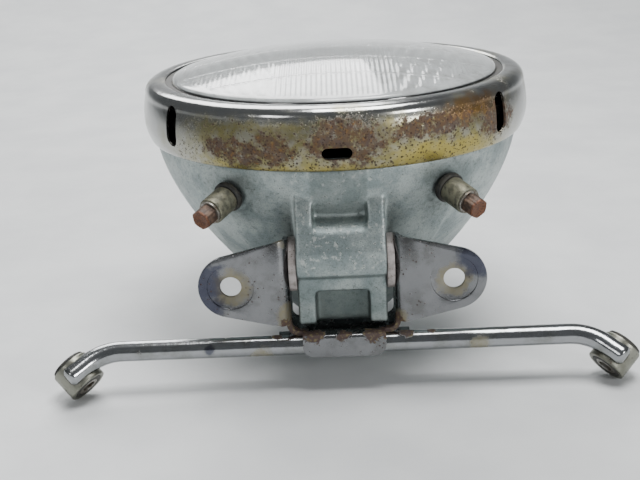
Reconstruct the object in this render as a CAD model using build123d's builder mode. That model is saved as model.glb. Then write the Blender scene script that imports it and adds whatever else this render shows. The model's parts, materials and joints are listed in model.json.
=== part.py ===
from build123d import *
import os
from math import cos, radians, sin, tan

# Round motorcycle lamp on a hinged steel bracket, lying on its back with the lens up.
# +X runs along the cross rod, +Y to the side away from the bracket, +Z along the lamp axis.
# The origin is where the lamp axis meets the flat back of the bowl. All sizes in millimetres.

os.makedirs("parts", exist_ok=True)

# ---------------------------------------------------------------- driving dimensions
# rim and lens
rim_bottom = 103.5
rim_height = 28.5
rim_radius = 97.0
rim_edge_radius = 94.4
rim_lip_radius = 85.2
rim_sheet = 1.2
rim_corner = 6.0
rim_widest = 0.42
rim_taper = 1.6
rim_slot_angle = 52.0
rim_slot_length = 19.0
rim_slot_width = 8.5
rim_slot_rise = 15.5
low_slot_length = 13.5
low_slot_width = 5.4
low_slot_rise = 8.6
lens_glass = 3.5
lens_flange_height = 5.4
lens_flange_inset = 8.5
lens_proud = 1.2
lens_dome = 10.0
lens_gap = 3.2
gasket_height = 3.6

# bowl
bowl_mouth_radius = 92.0
bowl_mouth_rise = 5.5
bowl_wall = 3.0
bowl_pad_radius = 20.0
bowl_pad_round = 13.0
bowl_shoulder = 6.0
bowl_flank = 41.0
bowl_cone = 21.0
panel_angle = 76.0
panel_rise = 0.8
panel_low = 40.0

# hinge arm, cast in one with the bowl
pivot_y = -86.5
pivot_z = 59.0
nose_reach = 13.5
nose_flat = 9.0
nose_drop = 2.2
nose_round = 8.0
nose_edge = 2.0
arm_top = 91.5
arm_foot_radius = 28.0
crease_rise = 21.0
crease_bulge = 2.6
rib_width = 8.0
undercut = 4.5
lower_pocket_drop = 11.0
lower_pocket_depth = 10.5
lower_pocket_height = 30.0

# bracket sheet
channel_width = 47.7
bracket_sheet = 2.3
channel_corner = 3.5
ear_bend = 6.0
ear_front = 13.0
ear_hole_spacing = 100.0
ear_hole_radius = 4.75
ear_hole_z = 53.5
ear_tip_radius = 14.6
ear_root_height = 40.6
ear_seat_radius = 10.5
ear_seat_depth = 0.5
floor_top = 28.3
pivot_boss_radius = 12.5
back_trim = 0.5
lip_width = 38.0
lip_height = 10.8
lip_corner = 5.0
lip_bend = 1.8

# cross rod and its eyes
rod_radius = 4.75
rod_straight = 225.0
rod_leg = 13.3
rod_bend_radius = 22.0
rod_forward = 42.0
rod_drop = 20.8
rod_overrun = 7.0
eye_radius = 9.2
eye_bore_radius = 7.0
eye_length = 13.5
eye_tip = 42.0
eye_offset = 8.0
grommet_flange = 1.4
grommet_wall = 2.0
sleeve_bore_radius = 3.2
weld_length = 12.0
weld_size = 3.4

# pivot hardware, M8
bolt_radius = 4.0
bolt_hole_clearance = 0.2
pivot_fit = 0.08
sleeve_wall = 2.0
washer_radius = 12.5
washer_thickness = 3.45
arm_side_gap = 0.15
plain_washer_radius = 7.0
plain_washer_thickness = 1.6
spring_washer_thickness = 2.0
spring_washer_radius = 6.4
bolt_head_flats = 13.0
bolt_head_height = 5.3
nut_height = 6.5
bolt_tail = 3.5

# light-unit fixing screws, M6
screw_angle = 33.0
screw_tilt = 15.0
screw_z = 90.0
screw_radius = 3.0
screw_clearance = 0.3
screw_boss_radius = 9.0
screw_boss_rise = 1.0
rubber_radius = 7.2
rubber_thickness = 3.0
collar_radius = 6.2
collar_length = 12.0
ring_radius = 5.5
ring_thickness = 1.2
screw_head_flats = 8.4
screw_head_height = 6.6
tab_sheet = 1.5
tab_width = 15.0
tab_gap = 1.0
tab_head_drop = 8.0
tab_nut_flats = 10.0
tab_nut_height = 5.0

# optical unit inside the bowl
reflector_sheet = 1.2
reflector_focus = 25.0
dish_margin = 0.5
collar_bore_radius = 19.0
neck_length = 11.0
unit_ring_sheet = 1.4
unit_ring_radius = 91.0
unit_ring_inner_radius = 81.0
unit_ring_skirt = 5.0
clip_count = 4
clip_width = 9.0
clip_sheet = 0.8
clip_gap = 1.7
hook_width = 14.0
hook_sheet = 1.2
hook_gap = 1.5
hook_rise = 10.0
hook_drop = 6.0
bulb_radius = 8.6
bulb_length = 42.0
bulb_flange_radius = 18.6
bulb_flange_thickness = 1.6
bulb_tab_reach = 3.4
bulb_tab_width = 8.0
bulb_base_radius = 10.5
bulb_base_length = 10.0
terminal_width = 7.6
terminal_thickness = 0.9
terminal_length = 9.0
terminal_spread = 6.0
wire_radius = 0.7
boot_wall = 2.2
boot_bulge = 3.6
boot_length = 19.0
boot_mouth_radius = 8.0

# rubber cable inlet in the bowl wall, on the side away from the bracket
inlet_z = 47.0
inlet_hole_radius = 13.0
inlet_bore_radius = 7.0
inlet_flange = 2.6
inlet_lip = 2.0
inlet_tilt = 38.0

# clearances between seated pieces
seat_gap = 0.1

# ---------------------------------------------------------------- derived places
rim_top = rim_bottom + rim_height
lens_radius = rim_lip_radius - lens_gap
lens_flange_radius = rim_radius - lens_flange_inset
lens_flange_top = rim_top - rim_sheet - gasket_height - seat_gap
lens_flange_bottom = lens_flange_top - lens_flange_height
lens_edge = rim_top + lens_proud
lens_apex = lens_edge + lens_dome
reflector_top = lens_flange_bottom
reflector_edge = lens_radius - lens_glass
unit_ring_top = reflector_top - reflector_sheet
mouth_top = rim_bottom + bowl_mouth_rise

arm_half = channel_width / 2 - washer_thickness - arm_side_gap
nose_front = pivot_y - nose_reach
pocket_half = arm_half - rib_width
ear_front_y = pivot_y - ear_front
wall_in = channel_width / 2
wall_out = wall_in + bracket_sheet
channel_back = pivot_y + pivot_boss_radius - back_trim
rod_y = ear_front_y + bracket_sheet + rod_radius
rod_z = floor_top - bracket_sheet - rod_radius


def bowl_radius(z):
    """Outer radius of the bowl at height z, found along its side curve."""
    low, high = 0.0, 1.0
    for _ in range(40):
        t = (low + high) / 2
        if bowl_curve_point(t)[1] > z:
            low = t
        else:
            high = t
    return bowl_curve_point(low)[0]


def bowl_control(inset):
    """Control points of the bowl's side curve from mouth to pad, moved in by inset."""
    side_shift = inset * (2**0.5 - 1)
    return [
        (bowl_mouth_radius - inset, rim_bottom),
        (bowl_mouth_radius - bowl_shoulder - inset, rim_bottom - bowl_flank),
        (bowl_pad_radius + bowl_cone - side_shift, bowl_cone + inset),
        (bowl_pad_radius - side_shift, inset),
    ]


def bowl_curve_point(t):
    """Point of the outer side curve at parameter t, as radius and height."""
    weights = [(1 - t) ** 3, 3 * t * (1 - t) ** 2, 3 * t**2 * (1 - t), t**3]
    points = bowl_control(0)
    return [sum(w * p[i] for w, p in zip(weights, points)) for i in range(2)]


def finish(builder, label):
    """Label one finished piece and write it to its own file."""
    builder.part.label = label
    export_step(builder.part, f"parts/{label}.step")


def around(angle):
    """Upright plane through the lamp axis, with X outward at this angle from -Y."""
    return Plane(
        origin=(0, 0, 0),
        x_dir=(sin(radians(angle)), -cos(radians(angle)), 0),
        z_dir=(-cos(radians(angle)), -sin(radians(angle)), 0),
    )


def tangent_plane(angle, radius, z):
    """Plane that faces outward at this angle, radius and height on the lamp."""
    return Plane(
        origin=(radius * sin(radians(angle)), -radius * cos(radians(angle)), z),
        x_dir=(cos(radians(angle)), sin(radians(angle)), 0),
        z_dir=(sin(radians(angle)), -cos(radians(angle)), 0),
    )


def screw_plane(side, depth):
    """Plane across a fixing screw, this far out along the screw from the bowl wall."""
    outward = Vector(
        side * sin(radians(screw_angle)) * cos(radians(screw_tilt)),
        -cos(radians(screw_angle)) * cos(radians(screw_tilt)),
        -sin(radians(screw_tilt)),
    )
    radius = bowl_radius(screw_z)
    seat = Vector(
        side * radius * sin(radians(screw_angle)),
        -radius * cos(radians(screw_angle)),
        screw_z,
    )
    return Plane(origin=seat + outward * depth, z_dir=outward)


def inlet_plane(depth):
    """Plane across the cable inlet, this far out from the bowl's outer skin."""
    outward = Vector(0, cos(radians(inlet_tilt)), -sin(radians(inlet_tilt)))
    return Plane(origin=Vector(0, bowl_radius(inlet_z), inlet_z) + outward * depth, z_dir=outward)


def dome_height(radius, edge_radius, edge_z, rise):
    """Height at this radius of a spherical dome that rises from its edge to the axis."""
    sphere = (edge_radius**2 + rise**2) / (2 * rise)
    return edge_z + rise - sphere + (sphere**2 - radius**2) ** 0.5


def annulus(plane, outer, inner):
    """Sketch of a plain ring on the plane."""
    with BuildSketch(plane) as sketch:
        Circle(outer)
        Circle(inner, mode=Mode.SUBTRACT)
    return sketch.sketch


# ---------------------------------------------------------------- bowl with hinge arm
foot_y = nose_front + undercut
foot_z = pivot_z - (arm_foot_radius**2 - (pivot_y - foot_y) ** 2) ** 0.5
heel_y = pivot_y + arm_foot_radius * sin(radians(screw_angle))
heel_z = pivot_z - arm_foot_radius * cos(radians(screw_angle))
crease_z = pivot_z + crease_rise
crease_y = -bowl_radius(crease_z)

with BuildPart() as bowl:
    with BuildSketch(Plane.YZ):
        with BuildLine():
            Polyline(
                (-bowl_wall - bowl_pad_radius, heel_z),
                (-bowl_wall - bowl_pad_radius, arm_top),
                (-bowl_radius(arm_top) + bowl_wall / 2, arm_top),
                (nose_front, pivot_z + nose_flat),
                (nose_front, pivot_z - nose_drop),
                (foot_y, pivot_z - nose_drop - undercut / 2),
                (foot_y, foot_z),
            )
            ThreePointArc((foot_y, foot_z), (pivot_y, pivot_z - arm_foot_radius), (heel_y, heel_z))
            Line((heel_y, heel_z), (-bowl_wall - bowl_pad_radius, heel_z))
        make_face()
    extrude(amount=arm_half, both=True)
    fillet(bowl.edges().filter_by(Axis.X).sort_by(Axis.Y)[0:2], nose_edge)
    # recess between the two ribs, down to the barrel that carries the pivot
    with BuildSketch(Plane.YZ):
        with BuildLine():
            ThreePointArc(
                (crease_y, crease_z),
                (
                    (crease_y + nose_front) / 2 - crease_bulge,
                    (crease_z + pivot_z + nose_flat) / 2 + crease_bulge,
                ),
                (nose_front, pivot_z + nose_flat),
            )
            Polyline(
                (nose_front, pivot_z + nose_flat),
                (nose_front - nose_round, pivot_z + nose_flat),
                (nose_front - nose_round, arm_top + nose_round),
                (crease_y + nose_round, arm_top + nose_round),
                (crease_y + nose_round, crease_z),
                (crease_y, crease_z),
            )
        make_face()
    extrude(amount=pocket_half, both=True, mode=Mode.SUBTRACT)
    # open pocket between the two cheeks below the pivot
    with BuildSketch(Plane.YZ):
        with Locations((nose_front, pivot_z - lower_pocket_drop)):
            Rectangle(lower_pocket_depth + 1, lower_pocket_height, align=(Align.MIN, Align.MAX))
    extrude(amount=pocket_half, both=True, mode=Mode.SUBTRACT)
    # outer skin of the bowl
    with BuildSketch(Plane.XZ):
        with BuildLine():
            Bezier(*bowl_control(0))
            Polyline(
                (bowl_pad_radius, 0),
                (0, 0),
                (0, mouth_top),
                (bowl_mouth_radius, mouth_top),
                (bowl_mouth_radius, rim_bottom),
            )
        make_face()
    revolve(axis=Axis.Z)
    fillet(bowl.edges().filter_by(GeomType.CIRCLE).group_by(Axis.Z)[0], bowl_pad_round)
    # raised front panel between the two fixing screws
    with BuildSketch(around(-panel_angle / 2)):
        with BuildLine():
            Bezier(*[(r + panel_rise, z) for r, z in bowl_control(0)])
            Polyline(
                (bowl_pad_radius + panel_rise, 0),
                (bowl_pad_radius - bowl_wall, 0),
                (bowl_mouth_radius - 2 * bowl_wall, rim_bottom - bowl_wall),
                (bowl_mouth_radius + panel_rise, rim_bottom),
            )
        make_face()
        with Locations((0, panel_low / 2)):
            Rectangle(4 * bowl_mouth_radius, panel_low, mode=Mode.SUBTRACT)
        with Locations((0, rim_bottom)):
            Rectangle(4 * bowl_mouth_radius, 2 * seat_gap, mode=Mode.SUBTRACT)
    revolve(axis=Axis.Z, revolution_arc=panel_angle)
    # bosses that seat the fixing screws
    for side in (-1, 1):
        with BuildSketch(screw_plane(side, screw_boss_rise)):
            Circle(screw_boss_radius)
        extrude(amount=-bowl_wall - screw_boss_rise)
    # cavity
    with BuildSketch(Plane.XZ):
        with BuildLine():
            Bezier(*bowl_control(bowl_wall))
            Polyline(
                bowl_control(bowl_wall)[3],
                (0, bowl_wall),
                (0, mouth_top + bowl_wall),
                (bowl_mouth_radius - bowl_wall, mouth_top + bowl_wall),
                bowl_control(bowl_wall)[0],
            )
        make_face()
    revolve(axis=Axis.Z, mode=Mode.SUBTRACT)
    # bores: pivot, fixing screws, cable inlet
    with BuildSketch(Plane.YZ.offset(-arm_half)):
        with Locations((pivot_y, pivot_z)):
            Circle(bolt_radius + pivot_fit + sleeve_wall)
    extrude(amount=2 * arm_half, mode=Mode.SUBTRACT)
    for side in (-1, 1):
        with BuildSketch(screw_plane(side, screw_boss_rise)):
            Circle(screw_radius + screw_clearance)
        extrude(amount=-4 * bowl_wall, mode=Mode.SUBTRACT)
    with BuildSketch(inlet_plane(2 * bowl_wall)):
        Circle(inlet_hole_radius)
    extrude(amount=-4 * bowl_wall, mode=Mode.SUBTRACT)
finish(bowl, "bowl")

# ---------------------------------------------------------------- rim
with BuildPart() as rim:
    with BuildSketch(Plane.XZ):
        with BuildLine() as rim_outline:
            flank = ThreePointArc(
                (rim_edge_radius, rim_bottom),
                (rim_radius, rim_bottom + rim_widest * rim_height),
                (rim_radius - rim_taper, rim_top - rim_corner),
            )
            RadiusArc(flank @ 1, (rim_radius - rim_taper - rim_corner, rim_top), -rim_corner - 1)
            Polyline(
                (rim_radius - rim_taper - rim_corner, rim_top),
                (rim_lip_radius, rim_top),
                (rim_lip_radius, rim_top - rim_sheet),
                (rim_radius - 2 - rim_corner, rim_top - rim_sheet),
            )
            RadiusArc(
                (rim_radius - 2 - rim_corner, rim_top - rim_sheet),
                (rim_radius - rim_taper - rim_sheet, rim_top - rim_corner - 0.6),
                rim_corner,
            )
            ThreePointArc(
                (rim_radius - rim_taper - rim_sheet, rim_top - rim_corner - 0.6),
                (rim_radius - rim_sheet, rim_bottom + rim_widest * rim_height),
                (rim_edge_radius - rim_sheet, rim_bottom + rim_sheet),
            )
            Polyline(
                (rim_edge_radius - rim_sheet, rim_bottom + rim_sheet),
                (bowl_mouth_radius + seat_gap, rim_bottom + rim_sheet),
                (bowl_mouth_radius + seat_gap, rim_bottom),
                (rim_edge_radius, rim_bottom),
            )
        make_face()
    revolve(axis=Axis.Z)
    # upright slots either side and the low level slots at front and back
    for angle in (-rim_slot_angle, rim_slot_angle):
        with BuildSketch(tangent_plane(angle, rim_radius + rim_sheet, rim_bottom + rim_slot_rise)):
            SlotOverall(rim_slot_length, rim_slot_width, rotation=90)
        extrude(amount=-6 * rim_sheet, mode=Mode.SUBTRACT)
    for angle in (0, 180):
        with BuildSketch(tangent_plane(angle, rim_radius + rim_sheet, rim_bottom + low_slot_rise)):
            SlotOverall(low_slot_length, low_slot_width)
        extrude(amount=-6 * rim_sheet, mode=Mode.SUBTRACT)
finish(rim, "rim")

# ---------------------------------------------------------------- lens, gasket, reflector
with BuildPart() as lens:
    with BuildSketch(Plane.XZ):
        with BuildLine():
            ThreePointArc(
                (0, lens_apex),
                (lens_radius / 2, dome_height(lens_radius / 2, lens_radius - 2, lens_edge, lens_dome)),
                (lens_radius - 2, lens_edge),
            )
            Polyline(
                (lens_radius - 2, lens_edge),
                (lens_radius, lens_edge - 2),
                (lens_radius, lens_flange_top),
                (lens_flange_radius, lens_flange_top),
                (lens_flange_radius, lens_flange_bottom),
                (reflector_edge, lens_flange_bottom),
                (reflector_edge, lens_edge - lens_glass),
            )
            ThreePointArc(
                (reflector_edge, lens_edge - lens_glass),
                (
                    lens_radius / 2,
                    dome_height(lens_radius / 2, reflector_edge, lens_edge, lens_dome) - lens_glass,
                ),
                (0, lens_apex - lens_glass),
            )
            Line((0, lens_apex - lens_glass), (0, lens_apex))
        make_face()
    revolve(axis=Axis.Z)
finish(lens, "lens")

with BuildPart() as lens_gasket:
    extrude(
        annulus(Plane.XY.offset(lens_flange_top), lens_flange_radius, lens_radius + seat_gap),
        amount=gasket_height + seat_gap,
    )
finish(lens_gasket, "lens_gasket")

dish_radius = reflector_edge + dish_margin
reflector_vertex = unit_ring_top - dish_radius**2 / (4 * reflector_focus)
collar_z = reflector_vertex + collar_bore_radius**2 / (4 * reflector_focus)
middle_radius = (dish_radius + collar_bore_radius) / 2
middle_z = reflector_vertex + middle_radius**2 / (4 * reflector_focus)
neck_bottom = collar_z - neck_length

with BuildPart() as reflector:
    with BuildSketch(Plane.XZ):
        with BuildLine():
            ThreePointArc(
                (dish_radius, unit_ring_top + seat_gap),
                (middle_radius, middle_z + seat_gap),
                (collar_bore_radius, collar_z + seat_gap),
            )
            Polyline(
                (collar_bore_radius, collar_z + seat_gap),
                (collar_bore_radius, neck_bottom),
                (collar_bore_radius + reflector_sheet, neck_bottom),
                (collar_bore_radius + reflector_sheet, collar_z - reflector_sheet),
            )
            ThreePointArc(
                (collar_bore_radius + reflector_sheet, collar_z - reflector_sheet),
                (middle_radius + reflector_sheet, middle_z - reflector_sheet),
                (dish_radius + reflector_sheet, unit_ring_top),
            )
            Polyline(
                (dish_radius + reflector_sheet, unit_ring_top),
                (lens_flange_radius, unit_ring_top),
                (lens_flange_radius, reflector_top),
                (dish_radius, reflector_top),
                (dish_radius, unit_ring_top + seat_gap),
            )
        make_face()
    revolve(axis=Axis.Z)
finish(reflector, "reflector")

# ---------------------------------------------------------------- ring and clips that hold the unit
with BuildPart() as unit_ring:
    top_plane = Plane.XY.offset(unit_ring_top)
    extrude(annulus(top_plane, unit_ring_radius, unit_ring_inner_radius), amount=-unit_ring_sheet)
    skirt = annulus(top_plane, unit_ring_radius, unit_ring_radius - unit_ring_sheet)
    extrude(skirt, amount=-unit_ring_skirt)
finish(unit_ring, "unit_ring")

clip_reach = rim_radius - rim_sheet - clip_gap
clip_bottom = unit_ring_top - unit_ring_skirt
with BuildPart() as unit_clips:
    for index in range(clip_count):
        with BuildSketch(around(index * 360 / clip_count + 45).offset(-clip_width / 2)):
            with BuildLine():
                Polyline(
                    (unit_ring_radius - unit_ring_sheet, clip_bottom),
                    (clip_reach - clip_sheet, clip_bottom),
                    (clip_reach - clip_sheet, clip_bottom + clip_width),
                    (clip_reach, clip_bottom + clip_width),
                    (clip_reach, clip_bottom - clip_sheet),
                    (unit_ring_radius - unit_ring_sheet, clip_bottom - clip_sheet),
                    close=True,
                )
            make_face()
        extrude(amount=clip_width)
finish(unit_clips, "unit_clips")

# ---------------------------------------------------------------- hook and tabs that hang the rim on the bowl
rim_inside = rim_radius - rim_sheet - hook_gap
hook_radius = bowl_mouth_radius - bowl_wall - tab_gap
with BuildPart() as rim_hook:
    with BuildSketch(around(180).offset(-hook_width / 2)):
        with BuildLine():
            Polyline(
                (rim_inside, mouth_top + hook_rise),
                (rim_inside, mouth_top + seat_gap),
                (hook_radius, mouth_top + seat_gap),
                (hook_radius, mouth_top - hook_drop),
                (hook_radius - hook_sheet, mouth_top - hook_drop),
                (hook_radius - hook_sheet, mouth_top + seat_gap + hook_sheet),
                (rim_inside - hook_sheet, mouth_top + seat_gap + hook_sheet),
                (rim_inside - hook_sheet, mouth_top + hook_rise),
                close=True,
            )
        make_face()
    extrude(amount=hook_width)
finish(rim_hook, "rim_hook")

lean = (sin(radians(screw_tilt)), cos(radians(screw_tilt)))
leg_depth = bowl_wall + tab_gap
leg_foot = (
    bowl_radius(screw_z) - leg_depth * lean[1] - tab_width / 2 * lean[0],
    screw_z + leg_depth * lean[0] - tab_width / 2 * lean[1],
)
leg_length = (mouth_top - leg_foot[1]) / lean[1] - tab_head_drop
leg_head = (leg_foot[0] + leg_length * lean[0], leg_foot[1] + leg_length * lean[1])
for side, name in ((-1, "left_rim_tab"), (1, "right_rim_tab")):
    with BuildPart() as rim_tab:
        with BuildSketch(around(side * screw_angle).offset(-tab_width / 2)):
            with BuildLine():
                Polyline(
                    leg_foot,
                    leg_head,
                    (leg_head[0], mouth_top + seat_gap),
                    (rim_inside, mouth_top + seat_gap),
                    (rim_inside, mouth_top + hook_rise),
                    (rim_inside - tab_sheet, mouth_top + hook_rise),
                    (rim_inside - tab_sheet, mouth_top + seat_gap + tab_sheet),
                    (leg_head[0] - tab_sheet, mouth_top + seat_gap + tab_sheet),
                    (leg_head[0] - tab_sheet, leg_head[1]),
                    (leg_foot[0] - tab_sheet, leg_foot[1]),
                    close=True,
                )
            make_face()
        extrude(amount=tab_width)
        with BuildSketch(screw_plane(side, 0)):
            Circle(screw_radius + screw_clearance)
        extrude(amount=-4 * bowl_wall, mode=Mode.SUBTRACT)
    finish(rim_tab, name)

nut_depth = leg_depth + tab_sheet
with BuildPart() as tab_nuts:
    for side in (-1, 1):
        with BuildSketch(screw_plane(side, -nut_depth)):
            RegularPolygon(tab_nut_flats / 2, 6, major_radius=False)
            Circle(screw_radius, mode=Mode.SUBTRACT)
        extrude(amount=-tab_nut_height)
finish(tab_nuts, "tab_nuts")

# ---------------------------------------------------------------- fixing screws and their washers
collar_out = screw_boss_rise + rubber_thickness
ring_out = collar_out + collar_length
head_out = ring_out + ring_thickness
for side, label in ((-1, "left"), (1, "right")):
    with BuildPart() as unit_screw:
        with BuildSketch(screw_plane(side, head_out)):
            RegularPolygon(screw_head_flats / 2, 6, major_radius=False)
        extrude(amount=screw_head_height)
        chamfer(unit_screw.edges().group_by(SortBy.DISTANCE)[-1], 0.6)
        with BuildSketch(screw_plane(side, head_out)):
            Circle(screw_radius)
        extrude(amount=-head_out - nut_depth - tab_nut_height - 2)
    finish(unit_screw, f"{label}_unit_screw")
    pieces = (
        ("unit_rubber", screw_boss_rise, rubber_radius, rubber_thickness),
        ("unit_collar", collar_out, collar_radius, collar_length),
        ("unit_washer", ring_out, ring_radius, ring_thickness),
    )
    for name, depth, radius, length in pieces:
        with BuildPart() as unit_spacer:
            extrude(
                annulus(screw_plane(side, depth), radius, screw_radius + screw_clearance),
                amount=length,
            )
        finish(unit_spacer, f"{label}_{name}")

# ---------------------------------------------------------------- bulb, its spring clip and rubber boot
seat_z = neck_bottom
with BuildPart() as bulb_base:
    with BuildSketch(Plane.XY.offset(seat_z)):
        Circle(bulb_flange_radius)
        with PolarLocations(bulb_flange_radius, 3, start_angle=90):
            Rectangle(2 * bulb_tab_reach - 1, bulb_tab_width)
    extrude(amount=-bulb_flange_thickness)
    with BuildSketch(Plane.XY.offset(seat_z)):
        Circle(bulb_base_radius)
    extrude(amount=bulb_base_length)
    with BuildSketch(Plane.XY.offset(seat_z)):
        Circle(bulb_base_radius)
    extrude(amount=-bulb_base_length)
finish(bulb_base, "bulb_base")

with BuildPart() as bulb_glass:
    with BuildSketch(Plane.XY.offset(seat_z + bulb_base_length)):
        Circle(bulb_radius)
    extrude(amount=bulb_length - bulb_base_length)
    fillet(bulb_glass.edges().group_by(Axis.Z)[-1], bulb_radius * 0.8)
finish(bulb_glass, "bulb_glass")

with BuildPart() as bulb_terminals:
    with BuildSketch(Plane.XY.offset(seat_z - bulb_base_length)):
        with Locations((-terminal_spread, 0), (terminal_spread, 0)):
            Rectangle(terminal_thickness, terminal_width)
        with Locations((0, terminal_spread)):
            Rectangle(terminal_width, terminal_thickness)
    extrude(amount=-terminal_length)
finish(bulb_terminals, "bulb_terminals")

clip_plane_z = seat_z - bulb_flange_thickness - wire_radius
clip_half = bulb_base_radius + wire_radius + seat_gap
clip_hinge = collar_bore_radius
with BuildPart() as bulb_clip:
    with BuildLine():
        clip_wire = FilletPolyline(
            (clip_half, -clip_hinge, clip_plane_z),
            (clip_half, clip_hinge, clip_plane_z),
            (-clip_half, clip_hinge, clip_plane_z),
            (-clip_half, -clip_hinge, clip_plane_z),
            radius=4,
        )
    with BuildSketch(Plane(origin=clip_wire @ 0, z_dir=clip_wire % 0)):
        Circle(wire_radius)
    sweep()
finish(bulb_clip, "bulb_clip")

cuff_radius = collar_bore_radius + reflector_sheet + seat_gap
boot_top = neck_bottom + neck_length / 2
boot_bottom = boot_top - boot_length
with BuildPart() as bulb_boot:
    with BuildSketch(Plane.XZ):
        with BuildLine():
            Polyline(
                (cuff_radius, boot_top),
                (cuff_radius + boot_wall, boot_top),
                (cuff_radius + boot_wall, neck_bottom + 3),
                (cuff_radius + boot_wall + boot_bulge, neck_bottom),
                (cuff_radius + boot_wall + boot_bulge, neck_bottom - 5),
                (boot_mouth_radius + boot_wall, boot_bottom),
                (boot_mouth_radius, boot_bottom),
                (boot_mouth_radius, boot_bottom + boot_wall),
                (cuff_radius + boot_bulge, neck_bottom - 4),
                (cuff_radius + boot_bulge, neck_bottom),
                (cuff_radius, neck_bottom + 2),
                close=True,
            )
        make_face()
    revolve(axis=Axis.Z)
finish(bulb_boot, "bulb_boot")

# ---------------------------------------------------------------- rubber cable inlet
with BuildPart() as cable_inlet:
    for depth, radius, length in (
        (seat_gap, inlet_hole_radius + inlet_lip, inlet_flange),
        (-bowl_wall - inlet_flange, inlet_hole_radius - seat_gap, bowl_wall + inlet_flange + seat_gap),
    ):
        extrude(annulus(inlet_plane(depth), radius, inlet_bore_radius), amount=length)
finish(cable_inlet, "cable_inlet")

# ---------------------------------------------------------------- bracket: channel, ears, floor and lip
ear_end = ear_hole_spacing / 2 + ear_tip_radius + 1
channel_length = channel_back - ear_front_y
wall_foot_z = ear_hole_z - ear_root_height / 2


def ear_outline(side):
    """Outline of one ear and the wall behind it, seen from the front."""
    with BuildSketch(Plane.XZ) as outline:
        with Locations((side * ear_hole_spacing / 2, ear_hole_z)):
            Circle(ear_tip_radius)
        with Locations((side * (wall_out + 1), ear_hole_z)):
            Rectangle(1, ear_root_height)
        make_hull()
        with Locations((side * (wall_out - bracket_sheet / 2), ear_hole_z)):
            Rectangle(bracket_sheet + 2, ear_root_height)
    return outline.sketch


def wall_outline():
    """Outline of both channel walls, seen from the side."""
    with BuildSketch(Plane.YZ) as outline:
        with Locations((pivot_y, pivot_z)):
            Circle(pivot_boss_radius)
        with Locations((ear_front_y + ear_bend / 2, ear_hole_z)):
            Rectangle(ear_bend, ear_root_height)
        with Locations((ear_front_y + channel_length / 2, floor_top)):
            Rectangle(channel_length + 2 * back_trim, 2 * bracket_sheet)
        make_hull()
    return outline.sketch


with BuildPart() as mounting_bracket:
    for side in (-1, 1):
        with BuildSketch(Plane.XY.offset(wall_foot_z)):
            with BuildLine():
                inner = FilletPolyline(
                    (side * wall_in, channel_back + bracket_sheet),
                    (side * wall_in, ear_front_y),
                    (side * ear_end, ear_front_y),
                    radius=ear_bend,
                )
                outer = FilletPolyline(
                    (side * ear_end, ear_front_y + bracket_sheet),
                    (side * wall_out, ear_front_y + bracket_sheet),
                    (side * wall_out, channel_back + bracket_sheet),
                    radius=ear_bend - bracket_sheet,
                )
                Line(inner @ 1, outer @ 0)
                Line(outer @ 1, inner @ 0)
            make_face()
        extrude(amount=ear_root_height)
    extrude(ear_outline(-1) + ear_outline(1), amount=3 * ear_hole_spacing, both=True, mode=Mode.INTERSECT)
    extrude(wall_outline(), amount=ear_hole_spacing, both=True, mode=Mode.INTERSECT)
    # floor with rounded corners up into the walls
    with BuildSketch(Plane.XZ.offset(-channel_back - bracket_sheet)):
        with BuildLine():
            inside = FilletPolyline(
                (-wall_in, wall_foot_z),
                (-wall_in, floor_top),
                (wall_in, floor_top),
                (wall_in, wall_foot_z),
                radius=channel_corner,
            )
            outside = FilletPolyline(
                (wall_out, wall_foot_z),
                (wall_out, floor_top - bracket_sheet),
                (-wall_out, floor_top - bracket_sheet),
                (-wall_out, wall_foot_z),
                radius=channel_corner + bracket_sheet,
            )
            Line(inside @ 1, outside @ 0)
            Line(outside @ 1, inside @ 0)
        make_face()
    extrude(amount=channel_length + bracket_sheet - ear_bend)
    # one straight cut across the back
    split(bisect_by=Plane.XZ.offset(-channel_back), keep=Keep.TOP)
    # tongue of the floor, turned down in front of the rod
    with BuildSketch(Plane.YZ):
        with BuildLine():
            Polyline(
                (ear_front_y + ear_bend + 1, floor_top),
                (ear_front_y, floor_top),
                (ear_front_y, floor_top - lip_height),
                (ear_front_y + bracket_sheet, floor_top - lip_height),
                (ear_front_y + bracket_sheet, floor_top - bracket_sheet),
                (ear_front_y + ear_bend + 1, floor_top - bracket_sheet),
                close=True,
            )
        make_face()
    extrude(amount=lip_width / 2, both=True)
    lip_edges = mounting_bracket.edges().filter_by(Axis.Y)
    fillet(lip_edges.group_by(Axis.Z)[0], lip_corner)
    front_edges = mounting_bracket.edges().filter_by(Axis.X).group_by(Axis.Y)[0]
    fillet(front_edges.sort_by(Axis.Z)[-1], lip_bend)
    # ear holes with a pressed seat, and the pivot holes
    for side in (-1, 1):
        with BuildSketch(Plane.XZ.offset(-ear_front_y)):
            with Locations((side * ear_hole_spacing / 2, ear_hole_z)):
                Circle(ear_seat_radius)
        extrude(amount=-ear_seat_depth, mode=Mode.SUBTRACT)
        with BuildSketch(Plane.XZ.offset(-ear_front_y)):
            with Locations((side * ear_hole_spacing / 2, ear_hole_z)):
                Circle(ear_hole_radius)
        extrude(amount=-bracket_sheet, mode=Mode.SUBTRACT)
    with BuildSketch(Plane.YZ.offset(-wall_out - 1)):
        with Locations((pivot_y, pivot_z)):
            Circle(bolt_radius + bolt_hole_clearance)
    extrude(amount=2 * wall_out + 2, mode=Mode.SUBTRACT)
finish(mounting_bracket, "mounting_bracket")

# ---------------------------------------------------------------- cross rod and its end eyes
def leg_direction(side):
    """Direction of the rod's bent end leg, pointing outward."""
    flat = cos(radians(rod_drop))
    return Vector(
        side * flat * cos(radians(rod_forward)), -flat * sin(radians(rod_forward)), -sin(radians(rod_drop))
    )


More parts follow.
